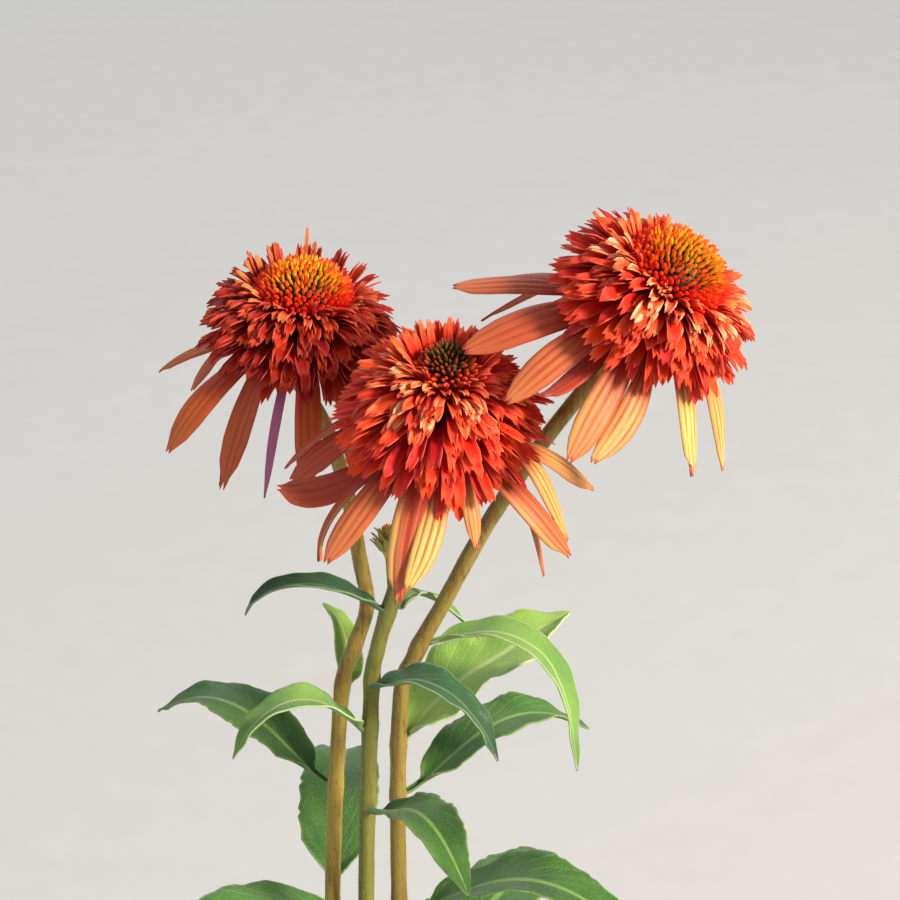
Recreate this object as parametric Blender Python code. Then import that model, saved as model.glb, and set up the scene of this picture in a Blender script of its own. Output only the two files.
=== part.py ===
# Double coneflower plant in a round nursery pot: three open blooms, one bud, stems,
# leaves, soil and pot. Lengths are in metres, +Z is up, and the origin is the middle of
# the pot's underside. The side that the photograph shows faces -Y.
import math
import random
from functools import partial

import bmesh
import bpy
from mathutils import Matrix, Vector
from mathutils.bvhtree import BVHTree

MM = 0.001
GAP = 0.3 * MM  # between pieces that touch
SEED = 7

# Pot and soil
POT_HEIGHT = 130 * MM
POT_FOOT_RADIUS = 62.5 * MM
POT_TOP_RADIUS = 85 * MM
POT_WALL = 1.8 * MM
RIM_HEIGHT = 12 * MM
RIM_OUT = 2.5 * MM
POT_SIDES = 32
DRAIN_COUNT = 6
DRAIN_RADIUS = 4 * MM
DRAIN_RING = 44 * MM
SOIL_TOP = 118 * MM
SOIL_ROUGH = 1.3 * MM
HOLE_CLEARANCE = 0.6 * MM
FOOT_DEPTH = 18 * MM  # how far stems and leaf stalks stand in the soil

# Flower heads, measured along the head's own axis from where the rays spring
CUP_DEPTH = 8 * MM
CUP_TOP = 2.9 * MM
CUP_RADIUS = 9.5 * MM
STEM_TOP_RADIUS = 2.2 * MM
STEM_FOOT_RADIUS = 2.7 * MM
BRACT_COUNT = 10
BRACT_RINGS = ((7.2, 5.0), (10.6, 7.4))  # out from the axis and down, in millimetres
BRACT_HALF = 1.5 * MM
BRACT_THICK = 0.9 * MM
BRACT_TIP = (11.6 * MM, 12.6 * MM)
BRACT_STAGGER = 1.2 * MM  # every second bract hangs this much lower
BRACT_POINT = 0.3 * MM  # half the distance between a bract's two end points
DISC_RADIUS = 10.4 * MM
DISC_BOTTOM = 2.6 * MM
DISC_TOP = 0.3 * MM
RAY_ROOT = 9.2 * MM
RAY_LEVEL = -1.4 * MM
RAY_THICK = 0.9 * MM
RAY_ARC = 0.16  # how far a ray's edges hang below its middle, per half width
RAY_STATIONS = ((0.0, 0.42), (0.24, 0.74), (0.5, 1.02), (0.76, 1.04), (0.94, 0.7))
FLORET_THICK = 0.9 * MM
FLORET_SINK = 2.5 * MM
FLORET_SHORT = 16.5 * MM  # shorter ones are straight
# Share of a floret's length, share of its half width, and how far its edges curl up
FLORET_STATIONS = ((0.0, 0.3, 0.0), (0.6, 0.92, 0.28), (0.87, 0.8, 0.2))
SHORT_STATIONS = ((0.0, 0.6, 0.0), (0.78, 0.95, 0.25))
CLEARANCE = 0.45 * MM  # kept round each ray, floret and leaf when it is placed
# Turns in degrees and rises in millimetres tried for a ray, and for a floret its rise
# in degrees and its share of the length
RAY_TRIALS = [(turn, rise) for rise in (0, 3, -3, 7) for turn in (0, 4, -4, 9, -9)]
FLORET_TRIALS = [(0, 1), (6, 1), (-6, 1), (12, 1), (-12, 1), (18, 0.95), (24, 0.9)]
FLORET_TRIALS += [(0, 0.75), (12, 0.75), (-12, 0.75), (0, 0.55), (20, 0.55)]

# Leaves
LEAF_THICK = 0.8 * MM
STALK_THICK = 1.9 * MM
STALK_WIDTH = 2.6 * MM
LEAF_MARGIN = 0.88  # half width between two teeth, as a share of that at a tooth
LEAF_TIP = 0.5 * MM  # half width of the narrowest ring
LEAF_SHARES = (0.07, 0.22, 0.35, 0.45, 0.6, 0.7, 0.86, 1.0)
SEEN_STALK = 0.06  # share of the leaf's length that is stalk
STEM_LEAF_STALK = 0.12
CROWN_LEAF_STALK = 0.36
STEM_LEAF_FOLD = 0.22
CROWN_LEAF_FOLD = 0.2
LEAF_TRIALS = [(turn,) for turn in (0, 8, -8, 16, -16, 24, -24, 34, -34, 44, -44)]

COLOURS = {
    "pot": ((0.035, 0.037, 0.038), 0.55),
    "soil": ((0.075, 0.05, 0.034), 0.95),
    "stem": ((0.30, 0.27, 0.09), 0.6),
    "bract": ((0.16, 0.25, 0.07), 0.6),
    "leaf": ((0.13, 0.27, 0.08), 0.55),
    "leaf_pale": ((0.34, 0.47, 0.18), 0.55),
    "ray": ((0.82, 0.36, 0.22), 0.55),
    "floret": ((0.78, 0.13, 0.07), 0.55),
    "cone": ((0.50, 0.16, 0.06), 0.6),
    "cone_young": ((0.17, 0.20, 0.06), 0.6),
    "bud": ((0.42, 0.36, 0.12), 0.6),
}


def ray(angle, reach, drop, width=7.0, arch=0.0, sway=0.0, twist=0.0, notch=2.2):
    """One ray: where its tip is round, out from and below the root, and how it bends.

    arch lifts the middle of its curve, sway turns its tip sideways, in degrees."""
    return {
        "angle": angle,
        "reach": reach * MM,
        "drop": drop * MM,
        "width": width * MM,
        "arch": arch * MM,
        "sway": sway,
        "twist": twist,
        "notch": notch * MM,
    }


def row(height, lift, length, count, width=6.6, bend=-12.0):
    """One row of florets: height on the core, angle above level, length and number."""
    return {
        "height": height * MM,
        "lift": lift,
        "length": length * MM,
        "count": count,
        "width": width * MM,
        "bend": bend,
    }


# The two older heads have a tall open cone, the young middle one a small closed cone.
MATURE = {
    "core": [(9.8, 0), (12.2, 7), (12.0, 12.4)],
    "rows": [
        row(2.0, -30, 19, 11, 8.4, -8),
        row(4.0, -13, 19.5, 12, 8.4),
        row(6.0, 4, 18.5, 12, 8.0),
        row(8.0, 20, 16, 12, 7.6),
        row(9.8, 34, 12.5, 12, 7.0),
        row(11.4, 49, 10, 12, 5.6),
    ],
    "cone_radius": 12.2 * MM,
    "cone_foot": 12.7 * MM,
    "cone_rise": 10.6 * MM,
    "cone_sides": 14,
    "cone_rings": 6,
    "cone_spike": 2.0 * MM,
    "cone_colour": "cone",
}
YOUNG = {
    "core": [(10.2, 0), (9.8, 8), (7.0, 17.4)],
    "rows": [
        row(1.8, -32, 20.5, 11, 8.2, -6),
        row(4.2, -15, 21, 12, 8.2),
        row(6.8, 2, 20, 12, 7.8),
        row(9.6, 19, 18, 12, 7.4),
        row(12.0, 35, 15, 11, 6.8),
        row(14.2, 49, 12, 10, 5.8),
        row(16.2, 62, 9, 8, 4.8),
    ],
    "cone_radius": 6.2 * MM,
    "cone_foot": 17.7 * MM,
    "cone_rise": 6.8 * MM,
    "cone_sides": 10,
    "cone_rings": 5,
    "cone_spike": 2.0 * MM,
    "cone_colour": "cone_young",
}

# lean is the head's tilt from upright, toward the given compass angle from +X, and turn
# spins it about its own axis. Ray angles count from +X, so -90 is toward the viewer.
BLOOMS = {
    "a": {
        "place": (-21.5, 37.8, 431.0),
        "lean": 7.0,
        "toward": -1.0,
        "turn": -2.0,
        "head": MATURE,
        "rays": [
            ray(-147, 41, -30, 8.4, -6, sway=3, twist=-15),
            ray(-126, 30.7, -38.8, 7.4, -4, sway=4, twist=-10),
            ray(-98, 29, -38.5, 3.6, -4.5, twist=35),
            ray(-74, 29.7, -36.6, 7.2, -1),
            ray(-44, 31, -34, 6.8, 2),
            ray(-16, 35, -30, 7.0, 1),
            ray(12, 36, -30, 7.0),
            ray(40, 37, -31, 7.0),
            ray(68, 36, -30, 7.0),
            ray(94, 37, -31, 7.0),
            ray(120, 38, -29, 7.0),
            ray(146, 38, -30, 7.0),
            ray(174, 40, -18, 7.5, -1),
        ],
    },
    "b": {
        "place": (19.7, -20.0, 430.0),
        "lean": 14.0,
        "toward": -70.0,
        "turn": -3.0,
        "head": YOUNG,
        "rays": [
            ray(161, 42.5, -27, 5.0, 3, sway=9, twist=40),
            ray(176, 40, -27.5, 8.4, -2, twist=-40),
            ray(-163, 43.5, -19, 8.4, -25, sway=-3, twist=-35),
            ray(-156, 43.5, -25, 3.6, -20, sway=24, twist=30),
            ray(-128, 41.7, -26.3, 7.4, -6, sway=-2, twist=-15),
            ray(-103, 40.7, -31, 8.6, -4.5, sway=4),
            ray(-86, 40.6, -25.5, 7.0, -7, sway=-10),
            ray(-65, 31, -19.5, 4.4, -1, notch=1.2),
            ray(-34, 43.6, -25.3, 8.2, -5, sway=7),
            ray(-38, 38, -36, 3.4, -12, sway=8),
            ray(-6, 39.5, -27, 6.8, 3, sway=-10),
            ray(2, 44.5, -20.5, 7.4, -1.5, sway=4),
            ray(40, 38, -28, 7.0),
            ray(70, 38, -29, 7.0),
            ray(100, 37, -30, 7.0),
            ray(130, 38, -30, 7.0),
        ],
    },
    "c": {
        "place": (75.0, -17.4, 462.1),
        "lean": 32.0,
        "toward": -17.5,
        "turn": -14.0,
        "head": MATURE,
        "rays": [
            ray(185, 47, -25, 7.0, -8, twist=-25),
            ray(171, 40, -22.7, 4.5, -5, sway=-3),
            ray(160, 35, -33.5, 4.0, 2, sway=12, twist=30),
            ray(-144, 43.4, -28.2, 9.0, -6, twist=-30),
            ray(-121, 38, -29.6, 8.0, -5.5, sway=2, twist=-20),
            ray(-105, 32.2, -23.6, 5.5, -16, sway=-7, twist=30),
            ray(-85, 40.4, -29.6, 8.0, -10),
            ray(-63, 38, -27.7, 7.2, -9.5, sway=-13),
            ray(-32, 38.4, -24.8, 7.0, -2, sway=5, notch=2.8),
            ray(-8, 42, -24, 7.0, 1),
            ray(18, 41, -26, 7.0),
            ray(44, 40, -27, 7.0),
            ray(70, 39, -28, 7.0),
            ray(98, 40, -27, 7.0),
            ray(128, 41, -28, 7.0),
        ],
    },
}

# Stems: the foot in the soil, then bends up to the head, in millimetres.
STEMS = {
    "a": {
        "foot": (-11, 13),
        "bends": [
            (-13, 16, 170),
            (-14.5, 21, 245),
            (-10.9, 27, 316.8),
            (-6.6, 29, 334),
            (-2.7, 31, 347.2),
            (-4.7, 33, 361.4),
            (-8.3, 35, 382.9),
            (-14.6, 37, 404),
        ],
    },
    "b": {
        "foot": (0, -10),
        "bends": [
            (-1.5, -10, 180),
            (-3, -8, 260),
            (-0.7, -6, 336),
            (1.3, -8, 353.6),
            (5.5, -10, 370.2),
            (9.5, -12, 384.6),
            (16, -15.8, 404),
        ],
    },
    "c": {
        "foot": (11, 7),
        "bends": [
            (9.5, 7.5, 180),
            (6.6, 7, 260),
            (7.4, 6, 327.3),
            (11.9, 6, 344.1),
            (20.4, 4, 362.7),
            (33.4, 0, 391.1),
            (50.2, -8, 422.7),
        ],
    },
}

BUD_STEM = [(5.4, -5.6, 366.5), (5.1, 0, 369.5), (4.7, 6, 372), (4.4, 10.5, 373.4)]
BUD_STEM_RADIUS = 0.9 * MM
BUD_HEIGHT = 9.5 * MM
BUD_RADIUS = 2.9 * MM
BUD_BRACTS = 6

# Leaves that the photograph shows: points along the midrib, in millimetres, widest
# width and how far the edges fold up.
SEEN_LEAVES = {
    "leaf_left_dark": (
        [
            (2.0, -11.2, 368.6),
            (-4.8, -13, 374),
            (-15, -15, 378.6),
            (-25.2, -17, 379),
            (-32.3, -18, 375.5),
            (-35.4, -18, 370.5),
        ],
        9.5,
        0.35,
        "leaf",
    ),
    "leaf_right_long": (
        [
            (17.4, 5.2, 348.8),
            (26.8, 4, 352.4),
            (36.5, 1, 354.6),
            (45.1, -2, 352.4),
            (51.5, -4, 346.5),
            (57, -6, 332),
            (59.5, -7.5, 313),
        ],
        13.0,
        0.25,
        "leaf_pale",
    ),
    "leaf_right_broad": (
        [
            (9.3, 9.0, 314),
            (16, 12, 323),
            (26, 16, 331),
            (37, 20, 336.5),
            (48, 27, 341),
            (58, 33, 344),
        ],
        30.0,
        0.22,
        "leaf_pale",
    ),
    "leaf_front_dark": (
        [
            (1.4, -10.4, 343),
            (8, -13, 346.5),
            (15, -15, 347.5),
            (24, -17.5, 343.5),
            (32, -20, 334),
            (36, -21.5, 325),
        ],
        13.0,
        0.3,
        "leaf",
    ),
    "leaf_behind_thin": (
        [
            (8.6, -8.0, 367.6),
            (11.5, 5, 365),
            (18, 14.5, 358),
            (25.5, 16.5, 350.5),
            (31, 20, 342),
        ],
        7.0,
        0.3,
        "leaf_pale",
    ),
    "leaf_back_small": (
        [
            (-8.2, 31.6, 322),
            (-8.6, 34, 328),
            (-9.8, 37, 334),
            (-12.4, 40, 339),
            (-16.5, 44, 341),
        ],
        8.5,
        0.25,
        "leaf_pale",
    ),
    "leaf_left_low": (
        [
            (-3.9, -7.4, 327),
            (-8.5, -11, 334),
            (-16, -14, 340.5),
            (-25, -17, 341.5),
            (-34, -20, 336),
            (-40, -22, 326),
        ],
        13.0,
        0.25,
        "leaf_pale",
    ),
}

# Lower stem leaves: stem, height, compass angle, length, width.
STEM_LEAVES = [
    ("c", 296, 25, 68, 19),
    ("b", 300, -62, 66, 18),
    ("a", 288, 150, 70, 20),
    ("b", 262, -140, 82, 24),
    ("c", 256, -25, 84, 24),
    ("a", 246, 88, 84, 25),
    ("b", 222, -88, 94, 28),
    ("a", 205, 172, 98, 29),
    ("c", 212, 50, 96, 29),
    ("c", 176, -38, 104, 31),
]

# Leaves from the crown: compass angle, distance of the stalk's foot from the middle,
# length from the soil to the tip, width, and how high the stalk rises.
CROWN_LEAVES = [
    (-158, 26, 138, 36, 62),
    (-112, 27, 128, 33, 48),
    (-62, 27, 136, 36, 66),
    (-12, 26, 130, 34, 52),
    (32, 26, 140, 37, 70),
    (78, 28, 132, 35, 50),
    (122, 29, 138, 36, 64),
]


def clear_scene():
    for obj in list(bpy.data.objects):
        bpy.data.objects.remove(obj, do_unlink=True)


def material(colour):
    base, roughness = COLOURS[colour]
    made = bpy.data.materials.new(colour)
    made.use_nodes = True
    shader = made.node_tree.nodes["Principled BSDF"]
    shader.inputs["Base Color"].default_value = (*base, 1)
    shader.inputs["Roughness"].default_value = roughness
    shader.inputs["Metallic"].default_value = 0.0
    return made


def face_outward(bm):
    bmesh.ops.recalc_face_normals(bm, faces=bm.faces)
    if bm.calc_volume(signed=True) < 0:
        bmesh.ops.reverse_faces(bm, faces=bm.faces)


def add_object(name, bm, colour, smooth=None):
    """The bmesh as an object, facing outward, with edges under the angle shaded smooth."""
    face_outward(bm)
    mesh = bpy.data.meshes.new(name)
    bm.to_mesh(mesh)
    bm.free()
    if smooth is not None:
        mesh.shade_smooth()
        mesh.set_sharp_from_angle(angle=math.radians(smooth))
    obj = bpy.data.objects.new(name, mesh)
    bpy.context.scene.collection.objects.link(obj)
    obj.data.materials.append(material(colour))
    return obj


def evaluated(obj):
    """Puts what the modifiers make in place of the object's mesh."""
    graph = bpy.context.evaluated_depsgraph_get()
    mesh = bpy.data.meshes.new_from_object(obj.evaluated_get(graph))
    obj.modifiers.clear()
    obj.data = mesh


def keep_outer_skin(obj):
    """Keeps the largest closed skin, so that a sealed hollow is filled and scraps go."""
    bm = bmesh.new()
    bm.from_mesh(obj.data)
    bm.faces.ensure_lookup_table()
    skins, seen = [], set()
    for start in bm.faces:
        if start in seen:
            continue
        skin, waiting = [], [start]
        seen.add(start)
        while waiting:
            face = waiting.pop()
            skin.append(face)
            for edge in face.edges:
                for other in edge.link_faces:
                    if other not in seen:
                        seen.add(other)
                        waiting.append(other)
        skins.append(skin)
    skins.sort(key=len)
    loose = [face for skin in skins[:-1] for face in skin]
    bmesh.ops.delete(bm, geom=loose, context="FACES")
    bm.to_mesh(obj.data)
    bm.free()


def combine(obj, others, operation, solver="EXACT"):
    """One Boolean of the object with all the others, applied, and the others removed."""
    group = bpy.data.collections.new(obj.name + "_pieces")
    bpy.context.scene.collection.children.link(group)
    for other in others:
        bpy.context.scene.collection.objects.unlink(other)
        group.objects.link(other)
    boolean = obj.modifiers.new("pieces", "BOOLEAN")
    boolean.operation = operation
    boolean.operand_type = "COLLECTION"
    boolean.collection = group
    boolean.solver = solver
    evaluated(obj)
    for other in others:
        bpy.data.objects.remove(other, do_unlink=True)
    bpy.data.collections.remove(group)
    keep_outer_skin(obj)


def tree_of(obj):
    """The object's surface, to test later pieces against."""
    bm = bmesh.new()
    bm.from_mesh(obj.data)
    bm.transform(obj.matrix_world)
    tree = BVHTree.FromBMesh(bm)
    bm.free()
    return tree


def touches(bm, trees):
    tree = BVHTree.FromBMesh(bm)
    return any(tree.overlap(other) for other in trees)


def turned(profile, sides):
    """A bmesh turned about Z from (radius, height) points that start and end on it."""
    bm = bmesh.new()
    verts = [bm.verts.new((radius, 0, height)) for radius, height in profile]
    edges = [bm.edges.new(pair) for pair in zip(verts, verts[1:])]
    bmesh.ops.spin(
        bm,
        geom=verts + edges,
        cent=(0, 0, 0),
        axis=(0, 0, 1),
        angle=math.tau,
        steps=sides,
        use_merge=True,
    )
    bmesh.ops.remove_doubles(bm, verts=bm.verts, dist=0.001 * MM)
    face_outward(bm)
    return bm


def smooth_path(points, count):
    """Evenly spaced points along a smooth curve through the given ones."""
    ends = [2 * points[0] - points[1], *points, 2 * points[-1] - points[-2]]
    fine = []
    for p0, p1, p2, p3 in zip(ends, ends[1:], ends[2:], ends[3:]):
        for k in range(24):
            t = k / 24
            fine.append(
                0.5
                * (
                    2 * p1
                    + (p2 - p0) * t
                    + (2 * p0 - 5 * p1 + 4 * p2 - p3) * t * t
                    + (3 * p1 - p0 - 3 * p2 + p3) * t * t * t
                )
            )
    fine.append(points[-1].copy())
    return along(fine, [k / (count - 1) for k in range(count)])


def along(path, shares):
    """Points at the given shares of a path's length."""
    lengths = [0.0]
    for a, b in zip(path, path[1:]):
        lengths.append(lengths[-1] + (b - a).length)
    found, k = [], 0
    for share in shares:
        goal = share * lengths[-1]
        while k < len(path) - 2 and lengths[k + 1] < goal:
            k += 1
        span = max(lengths[k + 1] - lengths[k], 1e-9)
        found.append(path[k].lerp(path[k + 1], min((goal - lengths[k]) / span, 1)))
    return found


def tangents(path):
    ahead = path[1:] + [2 * path[-1] - path[-2]]
    behind = [2 * path[0] - path[1]] + path[:-1]
    return [(a - b).normalized() for a, b in zip(ahead, behind)]


def tube(path, radii, sides):
    """A bmesh round tube with flat ends, its rings carried along the path unturned."""
    bm = bmesh.new()
    side = None
    rows = []
    for centre, forward, radius in zip(path, tangents(path), radii):
        if side is None:
            side = forward.orthogonal().normalized()
        side = (side - forward * side.dot(forward)).normalized()
        other = forward.cross(side)
        ring = []
        for k in range(sides):
            turn = math.tau * k / sides
            ring.append(
                bm.verts.new(
                    centre + radius * (side * math.cos(turn) + other * math.sin(turn))
                )
            )
        rows.append(ring)
    for near, far in zip(rows, rows[1:]):
        for k in range(sides):
            j = (k + 1) % sides
            bm.faces.new((near[k], near[j], far[j], far[k]))
    bm.faces.new(rows[0][::-1])
    bm.faces.new(rows[-1])
    return bm


def skin(rings, teeth=()):
    """A closed blade over rings of points. A ring's first two edges are the upper face,
    and both faces are split along the same diagonals. Two teeth may end it."""
    bm = bmesh.new()
    rows = [[bm.verts.new(point) for point in ring] for ring in rings]
    size = len(rows[0])
    for near, far in zip(rows, rows[1:]):
        for i in range(size):
            j = (i + 1) % size
            if i < 2:
                bm.faces.new((near[i], near[j], far[j]))
                bm.faces.new((near[i], far[j], far[i]))
            else:
                bm.faces.new((near[i], near[j], far[i]))
                bm.faces.new((near[j], far[j], far[i]))
    close_end(bm, rows[0])
    if teeth:
        left, top, right, bottom = rows[-1]
        first, second = (bm.verts.new(point) for point in teeth)
        for corners in (
            (left, top, first),
            (bottom, left, first),
            (top, bottom, first),
            (top, right, second),
            (right, bottom, second),
            (bottom, top, second),
        ):
            bm.faces.new(corners)
    else:
        close_end(bm, rows[-1])
    return bm


def close_end(bm, ring):
    if len(ring) == 4:
        left, top, right, bottom = ring
        bm.faces.new((left, top, bottom))
        bm.faces.new((top, right, bottom))
    else:
        left, middle, right, low_right, low_middle, low_left = ring
        bm.faces.new((left, middle, low_middle, low_left))
        bm.faces.new((middle, right, low_right, low_middle))


def thin_ring(centre, side, normal, half, edge_lift, thick):
    """Four points of a blade with sharp edges: left, top, right and bottom."""
    lift = normal * edge_lift
    return [
        centre - side * half + lift,
        centre + normal * (thick / 2),
        centre + side * half + lift,
        centre - normal * (thick / 2),
    ]


def flat_ring(centre, side, normal, half, edge_lift, thick):
    """Six points of a leaf of even thickness, folded along its midrib."""
    up = normal * (thick / 2)
    left = centre - side * half + normal * edge_lift
    right = centre + side * half + normal * edge_lift
    return [left + up, centre + up, right + up, right - up, centre - up, left - up]


def head_frame(bloom):
    """From a head's own frame, with its axis along Z, to the plant's."""
    place = Vector(bloom["place"]) * MM
    toward = math.radians(bloom["toward"])
    return (
        Matrix.Translation(place)
        @ Matrix.Rotation(toward, 4, "Z")
        @ Matrix.Rotation(math.radians(bloom["lean"]), 4, "Y")
        @ Matrix.Rotation(math.radians(bloom["turn"]) - toward, 4, "Z")
    )


def ray_blade(frame, spec, grow=0.0):
    """A long drooping blade, broadest past its middle, with a two-toothed tip."""
    root = Vector((RAY_ROOT, RAY_LEVEL))
    tip = Vector((spec["reach"], spec["drop"]))
    middle = Vector(((root.x + tip.x) * 0.54, RAY_LEVEL + spec["arch"]))
    rings = []
    for t, half_share in RAY_STATIONS:
        flat = root * (1 - t) ** 2 + middle * 2 * t * (1 - t) + tip * t * t
        slope = (middle - root) * (1 - t) + (tip - middle) * t
        turn = math.radians(spec["angle"] + spec["sway"] * t * t)
        outward = Vector((math.cos(turn), math.sin(turn), 0))
        side = Vector((-math.sin(turn), math.cos(turn), 0))
        centre = outward * flat.x + Vector((0, 0, flat.y))
        forward = (outward * slope.x + Vector((0, 0, slope.y))).normalized()
        roll = Matrix.Rotation(math.radians(spec["twist"]) * t, 3, forward)
        side = roll @ side
        normal = forward.cross(side)
        half = spec["width"] / 2 * half_share + grow
        rings.append(
            thin_ring(centre, side, normal, half, -RAY_ARC * half, RAY_THICK + 2 * grow)
        )
    end = centre + forward * (spec["notch"] + grow) - normal * 0.1 * half
    teeth = (end - side * half * 0.62, end + side * half * 0.5)
    bm = skin(rings, teeth)
    bm.transform(frame)
    return bm


def core_radius(profile, height):
    for (r0, z0), (r1, z1) in zip(profile, profile[1:]):
        if height <= z1 * MM:
            share = (height - z0 * MM) / ((z1 - z0) * MM)
            return (r0 + (r1 - r0) * share) * MM
    return profile[-1][0] * MM


def floret_blade(frame, root, turn, lift, spec, length, roll, grow=0.0):
    """A short cupped blade with a two-toothed tip, its root sunk in the core."""
    side = Vector((-math.sin(turn), math.cos(turn), 0))
    outward = Vector((math.cos(turn), math.sin(turn), 0))
    rings = []
    centre = outward * root + Vector((0, 0, spec["height"]))
    slope = math.radians(lift)
    forward = outward * math.cos(slope) + Vector((0, 0, math.sin(slope)))
    centre -= forward * FLORET_SINK
    passed = 0.0
    reach = length + FLORET_SINK
    stations = SHORT_STATIONS if length < FLORET_SHORT else FLORET_STATIONS
    for share, half_share, cup in stations:
        slope = math.radians(lift + spec["bend"] * (passed + share) / 2)
        forward = outward * math.cos(slope) + Vector((0, 0, math.sin(slope)))
        centre = centre + forward * reach * (share - passed)
        passed = share
        across = Matrix.Rotation(roll * share, 3, forward) @ side
        normal = forward.cross(across)
        half = spec["width"] / 2 * half_share + grow
        rings.append(
            thin_ring(centre, across, normal, half, cup * half, FLORET_THICK + 2 * grow)
        )
    end = centre + forward * (reach * (1 - share) + grow) + normal * 0.1 * half
    teeth = (end - across * half * 0.7, end + across * half * 0.55)
    bm = skin(rings, teeth)
    bm.transform(frame)
    return bm


def make_cup(key, frame):
    """The green cup under a head, with its ring of pointed bracts."""
    profile = [
        (0, -CUP_DEPTH),
        (STEM_TOP_RADIUS + 0.5 * MM, -CUP_DEPTH),
        (CUP_RADIUS * 0.75, -CUP_DEPTH * 0.68),
        (CUP_RADIUS, -CUP_TOP - 1.0 * MM),
        (CUP_RADIUS - 0.6 * MM, -CUP_TOP),
        (0, -CUP_TOP),
    ]
    bm = turned(profile, 12)
    bm.transform(frame)
    cup = add_object(f"bloom_{key}_bracts", bm, "bract")
    pieces = []
    tip_out, tip_low = BRACT_TIP
    for k in range(BRACT_COUNT):
        turn = math.tau * (k + 0.3) / BRACT_COUNT
        outward = Vector((math.cos(turn), math.sin(turn), 0))
        side = Vector((-math.sin(turn), math.cos(turn), 0))
        lower = (k % 2) * BRACT_STAGGER
        rings = []
        for out, low in BRACT_RINGS:
            reached = out * MM / tip_out  # the bract bends from level to straight down
            centre = outward * out * MM - Vector((0, 0, low * MM + lower * reached))
            slope = outward * (1.25 - reached) - Vector((0, 0, reached))
            normal = slope.normalized().cross(side)
            rings.append(thin_ring(centre, side, normal, BRACT_HALF, 0, BRACT_THICK))
        tip = outward * tip_out - Vector((0, 0, tip_low + lower))
        bm = skin(rings, (tip - side * BRACT_POINT, tip + side * BRACT_POINT))
        bm.transform(frame)
        pieces.append(add_object(f"bract_{k}", bm, "bract"))
    combine(cup, pieces, "UNION", "MANIFOLD")
    return cup


def clear_of(make, trials, obstacles):
    """The first trial that keeps clear of everything already placed, or None."""
    for trial in trials:
        bm = make(*trial, CLEARANCE)
        blocked = touches(bm, obstacles)
        bm.free()
        if not blocked:
            return trial
    return None


def bent_ray(frame, spec, turn, rise, grow=0.0):
    """The ray turned round the head by some degrees and its tip raised, in millimetres."""
    moved = dict(spec)
    moved["angle"] += turn
    moved["drop"] += rise * MM
    return ray_blade(frame, moved, grow)


def make_rays(key, frame, bloom, obstacles):
    profile = [
        (0, -DISC_BOTTOM),
        (DISC_RADIUS - 0.8 * MM, -DISC_BOTTOM),
        (DISC_RADIUS, -DISC_BOTTOM / 2),
        (DISC_RADIUS - 0.8 * MM, -DISC_TOP),
        (0, -DISC_TOP),
    ]
    bm = turned(profile, 16)
    bm.transform(frame)
    disc = add_object(f"bloom_{key}_rays", bm, "ray")
    pieces = []
    for spec in bloom["rays"]:
        bent = partial(bent_ray, frame, spec)
        trial = clear_of(bent, RAY_TRIALS, obstacles)
        if trial is None:
            print(f"bloom {key}: the ray at {spec['angle']} has no room")
            continue
        pieces.append(add_object(f"ray_{len(pieces)}", bent(*trial), "ray"))
    combine(disc, pieces, "UNION", "MANIFOLD")
    return disc


def make_cone(key, frame, head):
    """A dome whose every face is drawn out to a spike."""
    rings, rise = head["cone_rings"], head["cone_rise"]
    profile = [(0, head["cone_foot"]), (head["cone_radius"] * 0.97, head["cone_foot"])]
    for k in range(rings):
        turn = math.radians(10 + 80 * k / rings)
        profile.append(
            (head["cone_radius"] * math.cos(turn), head["cone_foot"] + rise * math.sin(turn))
        )
    profile.append((0, head["cone_foot"] + rise))
    bm = turned(profile, head["cone_sides"])
    bm.normal_update()
    dome = [face for face in bm.faces if face.normal.z > 0.05]
    bmesh.ops.poke(bm, faces=dome, offset=head["cone_spike"])
    bm.transform(frame)
    return add_object(f"bloom_{key}_cone", bm, head["cone_colour"])


def bent_floret(frame, spec, floret, rise, shorter, grow=0.0):
    """The floret raised by some degrees and cut to a share of its length."""
    root, turn, tilt, length, roll = floret
    return floret_blade(frame, root, turn, tilt + rise, spec, length * shorter, roll, grow)


def make_pompom(key, frame, head, obstacles, rng):
    """The dense round head: florets in rows on a core that they hide."""
    profile = [(0, 0)] + [(r * MM, z * MM) for r, z in head["core"]]
    profile.append((0, head["core"][-1][1] * MM))
    bm = turned(profile, 10)
    bm.transform(frame)
    core = add_object(f"bloom_{key}_florets", bm, "floret")
    pieces = []
    for number, spec in enumerate(head["rows"]):
        root = core_radius(head["core"], spec["height"])
        for k in range(spec["count"]):
            share = (k + 0.5 * (number % 2) + rng.uniform(-0.16, 0.16)) / spec["count"]
            tilt = spec["lift"] + rng.uniform(-4, 4)
            length = spec["length"] * rng.uniform(0.93, 1.06)
            roll = rng.uniform(-0.35, 0.35)
            floret = (root, math.tau * share, tilt, length, roll)
            bent = partial(bent_floret, frame, spec, floret)
            trial = clear_of(bent, FLORET_TRIALS, obstacles)
            if trial is None:
                print(f"bloom {key}: a floret of row {number} has no room")
                continue
            pieces.append(add_object(f"floret_{len(pieces)}", bent(*trial), "floret"))
    combine(core, pieces, "UNION", "MANIFOLD")
    return core


def stem_path(key):
    """From the foot in the soil straight up, through the bends, and into the cup."""
    spec = STEMS[key]
    x, y = spec["foot"]
    foot = SOIL_TOP / MM - FOOT_DEPTH / MM
    points = [Vector((x, y, foot)), Vector((x, y, foot + 14)), Vector((x, y, foot + 28))]
    points += [Vector(bend) for bend in spec["bends"]]
    points = [point * MM for point in points]
    frame = head_frame(BLOOMS[key])
    points.append(frame @ Vector((0, 0, -CUP_DEPTH - 4 * MM)))
    return smooth_path(points, 18) + [frame @ Vector((0, 0, -CUP_DEPTH - GAP))]


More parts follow.
